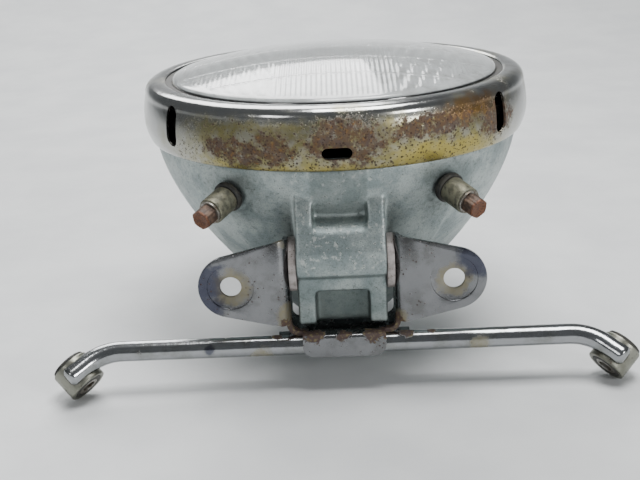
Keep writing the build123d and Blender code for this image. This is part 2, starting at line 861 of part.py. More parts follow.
def eye_plane(side):
    """Plane through the middle of one eye, facing down its bore, with X along the leg."""
    leg = leg_direction(side)
    level = Vector(-side * sin(radians(rod_forward)), -cos(radians(rod_forward)), 0)
    rise = level.cross(leg) * side
    bore = level * cos(radians(eye_tip)) - rise * sin(radians(eye_tip))
    over = level * sin(radians(eye_tip)) + rise * cos(radians(eye_tip))
    bend = Vector(side * rod_straight / 2, rod_y, rod_z)
    return Plane(origin=bend + leg * rod_leg - over * eye_offset, x_dir=leg, z_dir=bore)


with BuildPart() as cross_rod:
    tips = [
        Vector(side * rod_straight / 2, rod_y, rod_z) + leg_direction(side) * (rod_leg + rod_overrun)
        for side in (-1, 1)
    ]
    with BuildLine():
        rod_path = FilletPolyline(
            tips[0],
            (-rod_straight / 2, rod_y, rod_z),
            (rod_straight / 2, rod_y, rod_z),
            tips[1],
            radius=rod_bend_radius,
        )
    with BuildSketch(Plane(origin=rod_path @ 0, z_dir=rod_path % 0)):
        Circle(rod_radius)
    sweep()
    for side in (-1, 1):
        with BuildSketch(eye_plane(side)):
            Circle(eye_radius)
        extrude(amount=eye_length, both=True, mode=Mode.SUBTRACT)
finish(cross_rod, "cross_rod")

for side, label in ((-1, "left"), (1, "right")):
    eye_end = eye_plane(side).offset(-eye_length / 2)
    with BuildPart() as rod_eye:
        extrude(annulus(eye_end, eye_radius, eye_bore_radius), amount=eye_length)
        chamfer(rod_eye.edges().filter_by(GeomType.CIRCLE), 0.5)
    finish(rod_eye, f"{label}_rod_eye")
    grommet_bore = eye_bore_radius - grommet_wall
    flange_plane = eye_end.offset(-grommet_flange)
    with BuildPart() as eye_grommet:
        extrude(annulus(eye_end, eye_bore_radius, grommet_bore), amount=eye_length)
        extrude(annulus(flange_plane, eye_radius - 1, grommet_bore), amount=grommet_flange)
    finish(eye_grommet, f"{label}_eye_grommet")
    with BuildPart() as eye_sleeve:
        extrude(annulus(flange_plane, grommet_bore, sleeve_bore_radius), amount=eye_length + grommet_flange)
    finish(eye_sleeve, f"{label}_eye_sleeve")

# ---------------------------------------------------------------- weld between rod and bracket
with BuildPart() as weld_beads:
    for x in (-wall_out + 2, 0, wall_out - 2):
        with BuildSketch(Plane.YZ.offset(x - weld_length / 2)):
            with Locations((rod_y + rod_radius - 1, floor_top - bracket_sheet - weld_size / 2)):
                Ellipse(weld_size, weld_size / 2)
            with Locations((rod_y, rod_z)):
                Circle(rod_radius, mode=Mode.SUBTRACT)
        extrude(amount=weld_length)
finish(weld_beads, "weld_beads")

# ---------------------------------------------------------------- pivot bolt, nut, washers and sleeve
head_x = -wall_out - plain_washer_thickness
nut_x = wall_out + plain_washer_thickness + spring_washer_thickness
pivot_plane = Plane(origin=(0, pivot_y, pivot_z), x_dir=(0, 1, 0), z_dir=(1, 0, 0))

with BuildPart() as pivot_bolt:
    with BuildSketch(pivot_plane.offset(head_x)):
        RegularPolygon(bolt_head_flats / 2, 6, major_radius=False, rotation=30)
    extrude(amount=-bolt_head_height)
    with BuildSketch(pivot_plane.offset(head_x)):
        Circle(bolt_radius)
    extrude(amount=nut_x + nut_height + bolt_tail - head_x)
    chamfer(pivot_bolt.edges().filter_by(GeomType.CIRCLE).sort_by(Axis.X)[-1], 0.8)
finish(pivot_bolt, "pivot_bolt")

with BuildPart() as pivot_nut:
    with BuildSketch(pivot_plane.offset(nut_x)):
        RegularPolygon(bolt_head_flats / 2, 6, major_radius=False, rotation=30)
        Circle(bolt_radius, mode=Mode.SUBTRACT)
    extrude(amount=nut_height)
finish(pivot_nut, "pivot_nut")

with BuildPart() as plain_washers:
    for x in (head_x, wall_out):
        washer = annulus(pivot_plane.offset(x), plain_washer_radius, bolt_radius + bolt_hole_clearance)
        extrude(washer, amount=plain_washer_thickness)
finish(plain_washers, "plain_washers")

with BuildPart() as spring_washer:
    with BuildSketch(pivot_plane.offset(wall_out + plain_washer_thickness)):
        Circle(spring_washer_radius)
        Circle(bolt_radius + bolt_hole_clearance, mode=Mode.SUBTRACT)
        with Locations(Location((spring_washer_radius, 0, 0), 20)):
            Rectangle(2 * spring_washer_radius - 2 * bolt_radius + 2, 1, mode=Mode.SUBTRACT)
    extrude(amount=spring_washer_thickness)
finish(spring_washer, "spring_washer")

with BuildPart() as pivot_sleeve:
    sleeve = annulus(
        pivot_plane.offset(-arm_half), bolt_radius + pivot_fit + sleeve_wall, bolt_radius + pivot_fit
    )
    extrude(sleeve, amount=2 * arm_half)
finish(pivot_sleeve, "pivot_sleeve")

for side, label in ((-1, "left"), (1, "right")):
    with BuildPart() as friction_washer:
        disc = annulus(
            pivot_plane.offset(side * wall_in), washer_radius, bolt_radius + bolt_hole_clearance
        )
        extrude(disc, amount=-side * washer_thickness)
        chamfer(friction_washer.edges().filter_by(GeomType.CIRCLE).group_by(SortBy.RADIUS)[-1], 0.4)
    finish(friction_washer, f"{label}_friction_washer")
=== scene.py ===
import json
import logging
import math
from dataclasses import dataclass
from enum import Enum
from functools import reduce
from typing import Any, Callable, Optional, Sequence, Union

import bmesh
import bpy
import numpy as np
from mathutils import Matrix, Vector

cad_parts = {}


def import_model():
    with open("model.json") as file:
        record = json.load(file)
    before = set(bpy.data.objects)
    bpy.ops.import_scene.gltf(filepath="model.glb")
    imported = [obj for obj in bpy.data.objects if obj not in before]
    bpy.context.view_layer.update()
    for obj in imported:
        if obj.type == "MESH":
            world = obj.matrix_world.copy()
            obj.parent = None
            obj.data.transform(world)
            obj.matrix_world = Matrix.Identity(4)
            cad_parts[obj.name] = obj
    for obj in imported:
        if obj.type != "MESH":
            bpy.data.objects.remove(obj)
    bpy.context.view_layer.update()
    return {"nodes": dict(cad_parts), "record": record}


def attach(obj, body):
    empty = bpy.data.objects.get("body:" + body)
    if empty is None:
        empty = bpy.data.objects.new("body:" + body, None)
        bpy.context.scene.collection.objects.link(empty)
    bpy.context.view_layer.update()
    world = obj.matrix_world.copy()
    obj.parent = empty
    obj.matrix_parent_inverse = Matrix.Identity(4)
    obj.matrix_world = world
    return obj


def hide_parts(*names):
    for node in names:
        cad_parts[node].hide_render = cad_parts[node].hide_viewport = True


LOG = logging.getLogger("lamp")
MM = 0.001
FULL_TURN = 2 * math.pi
Number = Union[int, float]
Colour = tuple[float, float, float]

# Measures that both a shape and its finish need, in millimetres and degrees.
RIM_FOOT = 103.5
SCREW_ANGLE = 33.0
SCREW_TILT = 15.0
FLUTE_BLOCK = 6.6
FLUTE_LEAN = 0.22
FLUTE_ROWS = (-52.0, -24.0, 4.0, 32.0, 58.0)


class Ride(Enum):
    """The two bodies that pieces ride on."""

    LAMP = "lamp"
    BRACKET = "bracket"


class Side(Enum):
    """Left and right, with the sign of X."""

    LEFT = -1
    RIGHT = 1

    @property
    def label(self) -> str:
        """The side's name in small letters.

        Returns:
            The name.
        """
        return self.name.lower()


# ------------------------------------------------------------------ shader maths
class Sock:
    """One value socket of a shader tree, on which arithmetic adds Math nodes."""

    def __init__(self, tree: bpy.types.NodeTree, socket: Any) -> None:
        """Wrap a socket.

        Args:
            tree: The node tree it belongs to.
            socket: The output socket.
        """
        self.tree = tree
        self.socket = socket

    def _math(self, operation: str, *values: Any) -> "Sock":
        """Add one Math node.

        Args:
            operation: The Math node's operation.
            values: Its inputs, as wrapped sockets or numbers.

        Returns:
            The node's output, wrapped.
        """
        node = self.tree.nodes.new("ShaderNodeMath")
        node.operation = operation
        for slot, value in zip(node.inputs, values):
            if isinstance(value, Sock):
                self.tree.links.new(value.socket, slot)
            else:
                slot.default_value = value
        return Sock(self.tree, node.outputs[0])

    def __add__(self, other: Any) -> "Sock":
        """Add.

        Args:
            other: A wrapped socket or number.

        Returns:
            The sum.
        """
        return self._math("ADD", self, other)

    __radd__ = __add__

    def __sub__(self, other: Any) -> "Sock":
        """Subtract.

        Args:
            other: A wrapped socket or number.

        Returns:
            The difference.
        """
        return self._math("SUBTRACT", self, other)

    def __rsub__(self, other: Any) -> "Sock":
        """Subtract from a number.

        Args:
            other: The number.

        Returns:
            The difference.
        """
        return self._math("SUBTRACT", other, self)

    def __mul__(self, other: Any) -> "Sock":
        """Multiply.

        Args:
            other: A wrapped socket or number.

        Returns:
            The product.
        """
        return self._math("MULTIPLY", self, other)

    __rmul__ = __mul__

    def __truediv__(self, other: Any) -> "Sock":
        """Divide.

        Args:
            other: A wrapped socket or number.

        Returns:
            The quotient.
        """
        return self._math("DIVIDE", self, other)

    def __pow__(self, other: Any) -> "Sock":
        """Raise to a power.

        Args:
            other: The exponent.

        Returns:
            The power.
        """
        return self._math("POWER", self, other)

    def __abs__(self) -> "Sock":
        """Drop the sign.

        Returns:
            The size without its sign.
        """
        return self._math("ABSOLUTE", self)

    def sine(self) -> "Sock":
        """Take the sine of an angle in radians.

        Returns:
            The sine.
        """
        return self._math("SINE", self)

    def most(self, other: Any) -> "Sock":
        """Take the larger of two values.

        Args:
            other: A wrapped socket or number.

        Returns:
            The larger one.
        """
        return self._math("MAXIMUM", self, other)

    def step(self, low: Number, high: Number, start: Number = 0.0, end: Number = 1.0) -> "Sock":
        """Smooth step from start to end as the value goes from low to high.

        Args:
            low: Where the step begins.
            high: Where it ends.
            start: The result before it.
            end: The result after it.

        Returns:
            The stepped value.
        """
        node = self.tree.nodes.new("ShaderNodeMapRange")
        node.interpolation_type = "SMOOTHSTEP"
        self.tree.links.new(self.socket, node.inputs[0])
        for slot, value in zip(node.inputs[1:5], (low, high, start, end)):
            slot.default_value = value
        return Sock(self.tree, node.outputs[0])

    def fall(self, low: Number, high: Number) -> "Sock":
        """Smooth step down, from 1 at low to 0 at high.

        Args:
            low: Where the step begins.
            high: Where it ends.

        Returns:
            The stepped value.
        """
        return self.step(low, high, 1.0, 0.0)

    def near(self, place: Number, inner: Number, outer: Number) -> "Sock":
        """Mark the stretch round one place.

        Args:
            place: The middle of the stretch.
            inner: Distance from it that is fully marked.
            outer: Distance where the mark has faded out.

        Returns:
            1 near the place and 0 away from it.
        """
        return abs(self - place).fall(inner, outer)


def strongest(values: Sequence[Sock]) -> Sock:
    """Take the largest of several values.

    Args:
        values: At least one wrapped socket.

    Returns:
        The largest.
    """
    return reduce(Sock.most, values)


class Paint:
    """Builds one material's node tree on object coordinates."""

    def __init__(self, name: str) -> None:
        """Start an empty material.

        Args:
            name: The material's name.
        """
        self.material = bpy.data.materials.new(name)
        self.material.use_nodes = True
        self.tree = self.material.node_tree
        self.tree.nodes.clear()
        self.point = self.node("ShaderNodeTexCoord", output="Object")
        parts = self.tree.nodes.new("ShaderNodeSeparateXYZ")
        self.tree.links.new(self.point.socket, parts.inputs[0])
        self.x, self.y, self.z = (Sock(self.tree, s) / MM for s in parts.outputs)

    def node(
        self,
        kind: str,
        settings: Optional[dict[str, Any]] = None,
        values: Optional[dict[Any, Any]] = None,
        output: Any = 0,
    ) -> Sock:
        """Add a node, set it up, then give its sockets their values or links.

        Args:
            kind: The node's type.
            settings: Attributes to set first.
            values: Socket name or index to number, colour or wrapped socket.
            output: Name or index of the output to return.

        Returns:
            That output, wrapped.
        """
        node = self.tree.nodes.new(kind)
        for key, value in (settings or {}).items():
            setattr(node, key, value)
        for key, value in (values or {}).items():
            slot = node.inputs[key]
            if isinstance(value, Sock):
                self.tree.links.new(value.socket, slot)
            elif isinstance(value, tuple) and len(value) == 3 and slot.type == "RGBA":
                slot.default_value = (*value, 1.0)
            else:
                slot.default_value = value
        return Sock(self.tree, node.outputs[output])

    def noise(
        self, size: float, detail: float = 3.0, rough: float = 0.55,
        stretch: Colour = (1.0, 1.0, 1.0), seed: float = 0.0,
    ) -> Sock:
        """Cloudy noise from 0 to 1.

        Args:
            size: Size of one cloud, in millimetres.
            detail: Octaves.
            rough: How strong the fine octaves are.
            stretch: Factor on each axis; a small one draws the clouds out.
            seed: Shift of the pattern, in metres.

        Returns:
            The noise value.
        """
        placed = self.node(
            "ShaderNodeMapping",
            values={0: self.point, "Scale": stretch, "Location": (seed, seed / 2, -seed)},
        )
        return self.node(
            "ShaderNodeTexNoise",
            values={"Vector": placed, "Scale": 1 / (size * MM), "Detail": detail, "Roughness": rough},
        )

    def specks(self, pitch: float, small: float, large: float, seed: float = 0.0) -> Sock:
        """Round specks, one in each cell, sharp at small and gone at large.

        Args:
            pitch: Spacing of the specks, in millimetres.
            small: Share of a cell that is fully covered.
            large: Share of a cell where the speck has faded out.
            seed: Shift of the pattern, in metres.

        Returns:
            1 in a speck and 0 between.
        """
        placed = self.node("ShaderNodeMapping", values={0: self.point, "Location": (seed, -seed, seed)})
        cells = self.node("ShaderNodeTexVoronoi", values={"Vector": placed, "Scale": 1 / (pitch * MM)})
        return cells.fall(small, large)

    def mix(self, amount: Any, first: Any, second: Any) -> Sock:
        """Mix two colours.

        Args:
            amount: Share of the second colour.
            first: Colour at 0.
            second: Colour at 1.

        Returns:
            The mixed colour.
        """
        return self.node(
            "ShaderNodeMix", {"data_type": "RGBA"}, {0: amount, 6: first, 7: second}, output=2
        )

    def bump(self, height: Sock, depth: float, under: Optional[Sock] = None) -> Sock:
        """Bump from a height value.

        Args:
            height: Height from 0 to 1.
            depth: Depth of the relief, in millimetres.
            under: A normal that it adds to.

        Returns:
            The new normal.
        """
        values: dict[Any, Any] = {"Height": height, "Distance": depth * MM, "Strength": 1.0}
        if under is not None:
            values["Normal"] = under
        return self.node("ShaderNodeBump", values=values)

    def surface(self, **values: Any) -> bpy.types.Material:
        """Close the material with one Principled shader.

        Args:
            values: Socket names with underscores for spaces, and their values.

        Returns:
            The finished material.
        """
        named = {key.replace("_", " "): value for key, value in values.items()}
        shader = self.node("ShaderNodeBsdfPrincipled", values=named)
        end = self.tree.nodes.new("ShaderNodeOutputMaterial")
        self.tree.links.new(shader.socket, end.inputs[0])
        return self.material


# ------------------------------------------------------------------ meshes from arrays
def fresh_object(name: str, points: np.ndarray, faces: np.ndarray, weld: bool = True) -> bpy.types.Object:
    """Make a mesh object in metres from points in millimetres.

    Args:
        name: The object's name.
        points: Points, one row each, in millimetres.
        faces: Corner indices, one row for each face.
        weld: Merge points that coincide and turn all faces outward.

    Returns:
        The new object, linked to the scene.
    """
    mesh = bpy.data.meshes.new(name)
    mesh.from_pydata((points * MM).tolist(), [], faces.tolist())
    if weld:
        work = bmesh.new()
        work.from_mesh(mesh)
        bmesh.ops.remove_doubles(work, verts=work.verts, dist=1e-6)
        bmesh.ops.recalc_face_normals(work, faces=work.faces)
        work.to_mesh(mesh)
        work.free()
    mesh.polygons.foreach_set("use_smooth", np.ones(len(mesh.polygons), bool))
    mesh.update()
    obj = bpy.data.objects.new(name, mesh)
    bpy.context.scene.collection.objects.link(obj)
    return obj


def grid_faces(rows: int, columns: int, keep: Optional[np.ndarray] = None) -> np.ndarray:
    """Quads between neighbouring points of a grid stored row by row.

    Args:
        rows: Rows of points.
        columns: Columns of points.
        keep: Which cells to keep, as a mask of rows - 1 by columns - 1.

    Returns:
        Corner indices of the kept cells.
    """
    index = np.arange(rows * columns).reshape(rows, columns)
    quads = np.stack([index[:-1, :-1], index[:-1, 1:], index[1:, 1:], index[1:, :-1]], axis=-1)
    return quads[keep] if keep is not None else quads.reshape(-1, 4)


def sharpen(obj: bpy.types.Object, degrees: float = 35.0) -> bpy.types.Object:
    """Mark edges sharper than this angle so that smooth shading stops there.

    Args:
        obj: The mesh object.
        degrees: The angle between two faces above which their edge is sharp.

    Returns:
        The same object.
    """
    obj.data.set_sharp_from_angle(angle=math.radians(degrees))
    return obj


def applied(obj: bpy.types.Object) -> bpy.types.Object:
    """Replace the object's mesh with what its modifiers make of it.

    Args:
        obj: The object.

    Returns:
        The same object, with no modifiers.
    """
    bpy.context.view_layer.update()
    seen = obj.evaluated_get(bpy.context.evaluated_depsgraph_get())
    mesh = bpy.data.meshes.new_from_object(seen)
    obj.modifiers.clear()
    obj.data = mesh
    return obj


def rounded_profile(corners: Sequence[Sequence[float]], radii: Sequence[float], steps: int = 6) -> np.ndarray:
    """Closed outline whose corners are rounded.

    Each corner is replaced by a curve that leaves one side and joins the next at the radius's distance
    from the corner: p(t) = (1-t)^2 a + 2t(1-t) c + t^2 b.

    Args:
        corners: Corner points in order.
        radii: Distance at each corner where the curve starts.
        steps: Points along each curve.

    Returns:
        The outline's points.
    """
    corner = np.asarray(corners, float)
    before, after = np.roll(corner, 1, axis=0) - corner, np.roll(corner, -1, axis=0) - corner
    reach = np.asarray(radii, float)[:, None]
    start = corner + before / np.linalg.norm(before, axis=1, keepdims=True) * reach
    end = corner + after / np.linalg.norm(after, axis=1, keepdims=True) * reach
    t = np.linspace(0, 1, steps)[None, :, None]
    curve = (1 - t) ** 2 * start[:, None] + 2 * t * (1 - t) * corner[:, None] + t**2 * end[:, None]
    return curve.reshape(-1, 2)


def frame_axes(axis: Sequence[float]) -> np.ndarray:
    """Find three unit vectors at right angles, the last along the axis.

    Args:
        axis: The axis's direction.

    Returns:
        The vectors as matrix rows.
    """
    w = np.asarray(axis, float)
    w = w / np.linalg.norm(w)
    side = np.array([0.0, 0.0, 1.0]) if abs(w[2]) < 0.9 else np.array([0.0, 1.0, 0.0])
    u = np.cross(side, w)
    u = u / np.linalg.norm(u)
    return np.stack([u, np.cross(w, u), w])


def turned(
    name: str,
    profile: np.ndarray,
    origin: Sequence[float],
    axis: Sequence[float],
    segments: int = 96,
    shape: Optional[Callable[[np.ndarray, np.ndarray, np.ndarray], np.ndarray]] = None,
) -> bpy.types.Object:
    """Turn a closed outline about an axis: p = origin + r (u cos a + v sin a) + h w.

    Args:
        name: The object's name.
        profile: Radius and height of each outline point.
        origin: Where height 0 lies on the axis.
        axis: The axis's direction.
        segments: Steps in a full turn.
        shape: Gives a factor on the radius from angle, radius and height.

    Returns:
        The turned object.
    """
    closed = np.vstack([profile, profile[:1]])
    angle = np.linspace(0, FULL_TURN, segments + 1)
    a, r = np.meshgrid(angle, closed[:, 0])
    h = np.repeat(closed[:, 1:], segments + 1, axis=1)
    if shape is not None:
        r = r * shape(a, r, h)
    u, v, w = frame_axes(axis)
    points = np.asarray(origin, float) + (
        (r * np.cos(a))[..., None] * u + (r * np.sin(a))[..., None] * v + h[..., None] * w
    )
    return fresh_object(name, points.reshape(-1, 3), grid_faces(*a.shape))


def ring_profile(inner: float, outer: float, low: float, high: float, edge: float) -> np.ndarray:
    """Outline of a ring's section with rounded edges.

    Args:
        inner: Bore radius.
        outer: Outer radius.
        low: Height of one face.
        high: Height of the other.
        edge: Rounding of each edge.

    Returns:
        The outline's points.
    """
    corners = [(inner, low), (outer, low), (outer, high), (inner, high)]
    return rounded_profile(corners, [edge] * 4)


def hexagon(softness: float = 0.5) -> Callable[[np.ndarray, np.ndarray, np.ndarray], np.ndarray]:
    """Radius factor that turns a round bar into a worn hexagon.

    The flat's radius is 1 / cos of the angle from its middle; softness blends it towards a circle.

    Args:
        softness: 0 for crisp corners and 1 for a circle.

    Returns:
        The factor function for turned.
    """

    def factor(a: np.ndarray, r: np.ndarray, h: np.ndarray) -> np.ndarray:
        """Work out the factor.

        Args:
            a: Angles.
            r: Radii, not used.
            h: Heights, not used.

        Returns:
            The factor at each angle.
        """
        sector = (a + math.pi / 6) % (math.pi / 3) - math.pi / 6
        return (1 / np.cos(sector)) * (1 - softness) + softness

    return factor


def cad_copy(nodes: dict[str, bpy.types.Object], node: str, name: str) -> bpy.types.Object:
    """Copy a CAD node's mesh as a new object, with its loose triangles merged.

    Args:
        nodes: The CAD objects by name.
        node: The node to copy.
        name: The new object's name.

    Returns:
        The copy.
    """
    mesh = nodes[node].data.copy()
    mesh.name = name
    work = bmesh.new()
    work.from_mesh(mesh)
    bmesh.ops.remove_doubles(work, verts=work.verts, dist=2e-6)
    work.to_mesh(mesh)
    work.free()
    if mesh.has_custom_normals:
        mesh.attributes.remove(mesh.attributes["custom_normal"])
    mesh.materials.clear()
    obj = bpy.data.objects.new(name, mesh)
    bpy.context.scene.collection.objects.link(obj)
    return obj


def cast_copy(
    nodes: dict[str, bpy.types.Object], node: str, name: str, voxel: float, passes: int
) -> bpy.types.Object:
    """Copy a CAD node as a cast skin with soft edges.

    The copy is remeshed in even cells, then each point moves part of the way to the mean of its
    neighbours, a few times over, so that sharp corners turn into fillets.

    Args:
        nodes: The CAD objects by name.
        node: The node to copy.
        name: The new object's name.
        voxel: Cell size, in millimetres.
        passes: How often the points are averaged.

    Returns:
        The soft copy.
    """
    obj = cad_copy(nodes, node, name)
    remesh = obj.modifiers.new("cells", "REMESH")
    remesh.mode = "VOXEL"
    remesh.voxel_size = voxel * MM
    remesh.use_smooth_shade = True
    applied(obj)
    mesh = obj.data
    points = np.empty(len(mesh.vertices) * 3)
    mesh.vertices.foreach_get("co", points)
    points = points.reshape(-1, 3)
    edges = np.empty(len(mesh.edges) * 2, np.int64)
    mesh.edges.foreach_get("vertices", edges)
    ends = np.concatenate([edges.reshape(-1, 2), edges.reshape(-1, 2)[:, ::-1]])
    count = np.bincount(ends[:, 0], minlength=len(points))[:, None]
    for _ in range(passes):
        total = np.stack(
            [np.bincount(ends[:, 0], points[ends[:, 1], k], len(points)) for k in range(3)], axis=1
        )
        points = points + 0.5 * (total / count - points)
    mesh.vertices.foreach_set("co", points.reshape(-1))
    mesh.polygons.foreach_set("use_smooth", np.ones(len(mesh.polygons), bool))
    mesh.update()
    return obj


def bevelled_copy(
    nodes: dict[str, bpy.types.Object], node: str, name: str, width: float, degrees: float = 30.0
) -> bpy.types.Object:
    """Copy a CAD node with its crisp edges broken by a small rounding.

    Args:
        nodes: The CAD objects by name.
        node: The node to copy.
        name: The new object's name.
        width: Width of the rounding, in millimetres.
        degrees: Angle above which an edge is rounded.

    Returns:
        The copy.
    """
    obj = cad_copy(nodes, node, name)
    work = bmesh.new()
    work.from_mesh(obj.data)
    bmesh.ops.dissolve_limit(
        work, angle_limit=math.radians(0.4), verts=work.verts, edges=work.edges, use_dissolve_boundaries=False
    )
    work.to_mesh(obj.data)
    work.free()
    bevel = obj.modifiers.new("broken_edges", "BEVEL")
    bevel.width = width * MM
    bevel.segments = 2
    bevel.limit_method = "ANGLE"
    bevel.angle_limit = math.radians(degrees)
    bevel.use_clamp_overlap = True
    applied(obj)
    obj.data.polygons.foreach_set("use_smooth", np.ones(len(obj.data.polygons), bool))
    return sharpen(obj, 40)


def dressed(
    obj: bpy.types.Object, body: Ride, slot: str, finish: bpy.types.Material, *nodes: str
) -> bpy.types.Object:
    """Give a new piece its body and its finish, and hide the CAD nodes it stands for.

    Args:
        obj: The new piece.
        body: The body that it rides on.
        slot: The record's material slot; not used.
        finish: The material.
        nodes: CAD nodes that it replaces.

    Returns:
        The same object.
    """
    obj.data.materials.clear()
    obj.data.materials.append(finish)
    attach(obj, body.value)
    if nodes:
        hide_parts(*nodes)
    LOG.info("piece %s: %d faces on %s", obj.name, len(obj.data.polygons), body.value)
    return obj


def tone(red: int, green: int, blue: int) -> Colour:
    """Turn a screen colour into the shader's linear colour.

    A part c is c / 12.92 when dark and ((c + 0.055) / 1.055)^2.4 otherwise.

    Args:
        red: Red from 0 to 255.
        green: Green from 0 to 255.
        blue: Blue from 0 to 255.

    Returns:
        The linear colour.
    """
    part = [value / 255 for value in (red, green, blue)]
    return tuple(c / 12.92 if c <= 0.04045 else ((c + 0.055) / 1.055) ** 2.4 for c in part)


# ------------------------------------------------------------------ finishes
@dataclass(frozen=True)
class RimChrome:
    """Old chrome with yellow and olive stains, rust patches and rust specks."""

    bottom: float = RIM_FOOT
    steel: Colour = tone(166, 167, 166)
    olive: Colour = tone(138, 132, 92)
    yellow: Colour = tone(166, 150, 70)
    gold: Colour = tone(168, 116, 36)
    brown: Colour = tone(90, 62, 42)
    purple: Colour = tone(74, 55, 50)
    dark: Colour = tone(52, 34, 26)
    wander: float = 22.0
    climb: float = 11.0
    facing: tuple[float, float] = (-50.0, -20.0)
    patches: tuple[tuple[float, float, float, float], ...] = (
        (-46, 9, 14, 7),
        (-28, 11, 12, 9),
        (4, 13, 21, 12),
        (44, 17, 26, 6),
        (73, 13, 8, 9),
    )

    def build(self) -> bpy.types.Material:
        """Make the material.

        Places are given across the rim and up from its foot, both with a wandering edge. A rust patch is
        an ellipse there: q = sqrt(((x - a) / wide)^2 + ((z - b) / high)^2).

        Returns:
            The material.
        """
        p = Paint("rim_chrome")
        along = p.x + (p.noise(11, 3, seed=0.3) - 0.5) * self.wander
        up = p.z - self.bottom + (p.noise(7, 3, seed=0.7) - 0.5) * self.climb
        front = p.y.fall(*self.facing)
        cloud = p.noise(3.2, 4, 0.65)
        patch = strongest(
            [
                ((((along - x) / wide) ** 2 + ((up - z) / high) ** 2) ** 0.5).fall(0.55, 1.25)
                for x, z, wide, high in self.patches
            ]
        )
        freckle = p.noise(1.3, 3, 0.7, seed=6).step(0.4, 0.6)
        rust = (patch * front * 1.3 - cloud.step(0.34, 0.66, 0.8, 0.0) - freckle * 0.45).step(0.05, 0.7)
        haze = patch * front * p.noise(5.5, 4, 0.65, seed=5.2).step(0.3, 0.6)
        stained = along.near(5, 55, 92) * up.fall(19, 27) * front
        stained = stained.most(p.noise(26, 2, seed=1.1).step(0.52, 0.7) * 0.55)
        bright = along.near(46, 12, 30) * up.near(5, 2, 7)
        low = up.fall(0.5, 4.5) * along.near(12, 50, 80)
        bright = bright.most(low * 0.8) * front
        golden = along.near(60, 8, 20) * up.near(22, 2, 6) * front
        specks = p.specks(1.3, 0.17, 0.32).most(p.specks(2.7, 0.14, 0.26, 0.4))
        gathered = patch * 0.9 + stained * 0.45 + 0.15 + (p.noise(16, 2, seed=2) - 0.5)
        specks = specks * gathered.step(0.25, 0.6)
        specks = specks * front.most(0.25)
        olive_cloud = p.noise(5, 3, seed=0.9).step(0.3, 0.6) * 0.5 + 0.5
        colour = p.mix(stained * olive_cloud, self.steel, self.olive)
        colour = p.mix(bright * 0.7, colour, self.yellow)
        colour = p.mix(golden * 0.6, colour, self.gold)
        colour = p.mix(haze * 0.5, colour, self.purple)
        body = p.mix(p.noise(2.2, 3, seed=3.1).step(0.4, 0.62), self.brown, self.purple)
        body = p.mix(p.noise(1.7, 2, seed=8).step(0.58, 0.68) * 0.35, body, self.gold)
        colour = p.mix(rust * 0.8, colour, body)
        colour = p.mix(specks * 0.85, colour, self.dark)
        crusted = rust.most(specks)
        rough = stained * 0.16 + crusted * 0.4 + 0.16 + (p.noise(1.1, 2) - 0.5) * 0.1
        height = crusted + p.noise(0.9, 2, seed=4) * 0.35 * crusted
        return p.surface(
            Base_Color=colour,
            Metallic=1 - crusted * 0.6 - stained * 0.15,
            Roughness=rough,
            Normal=p.bump(height, 0.12, p.bump(p.noise(14, 2, seed=5), 0.25)),
        )


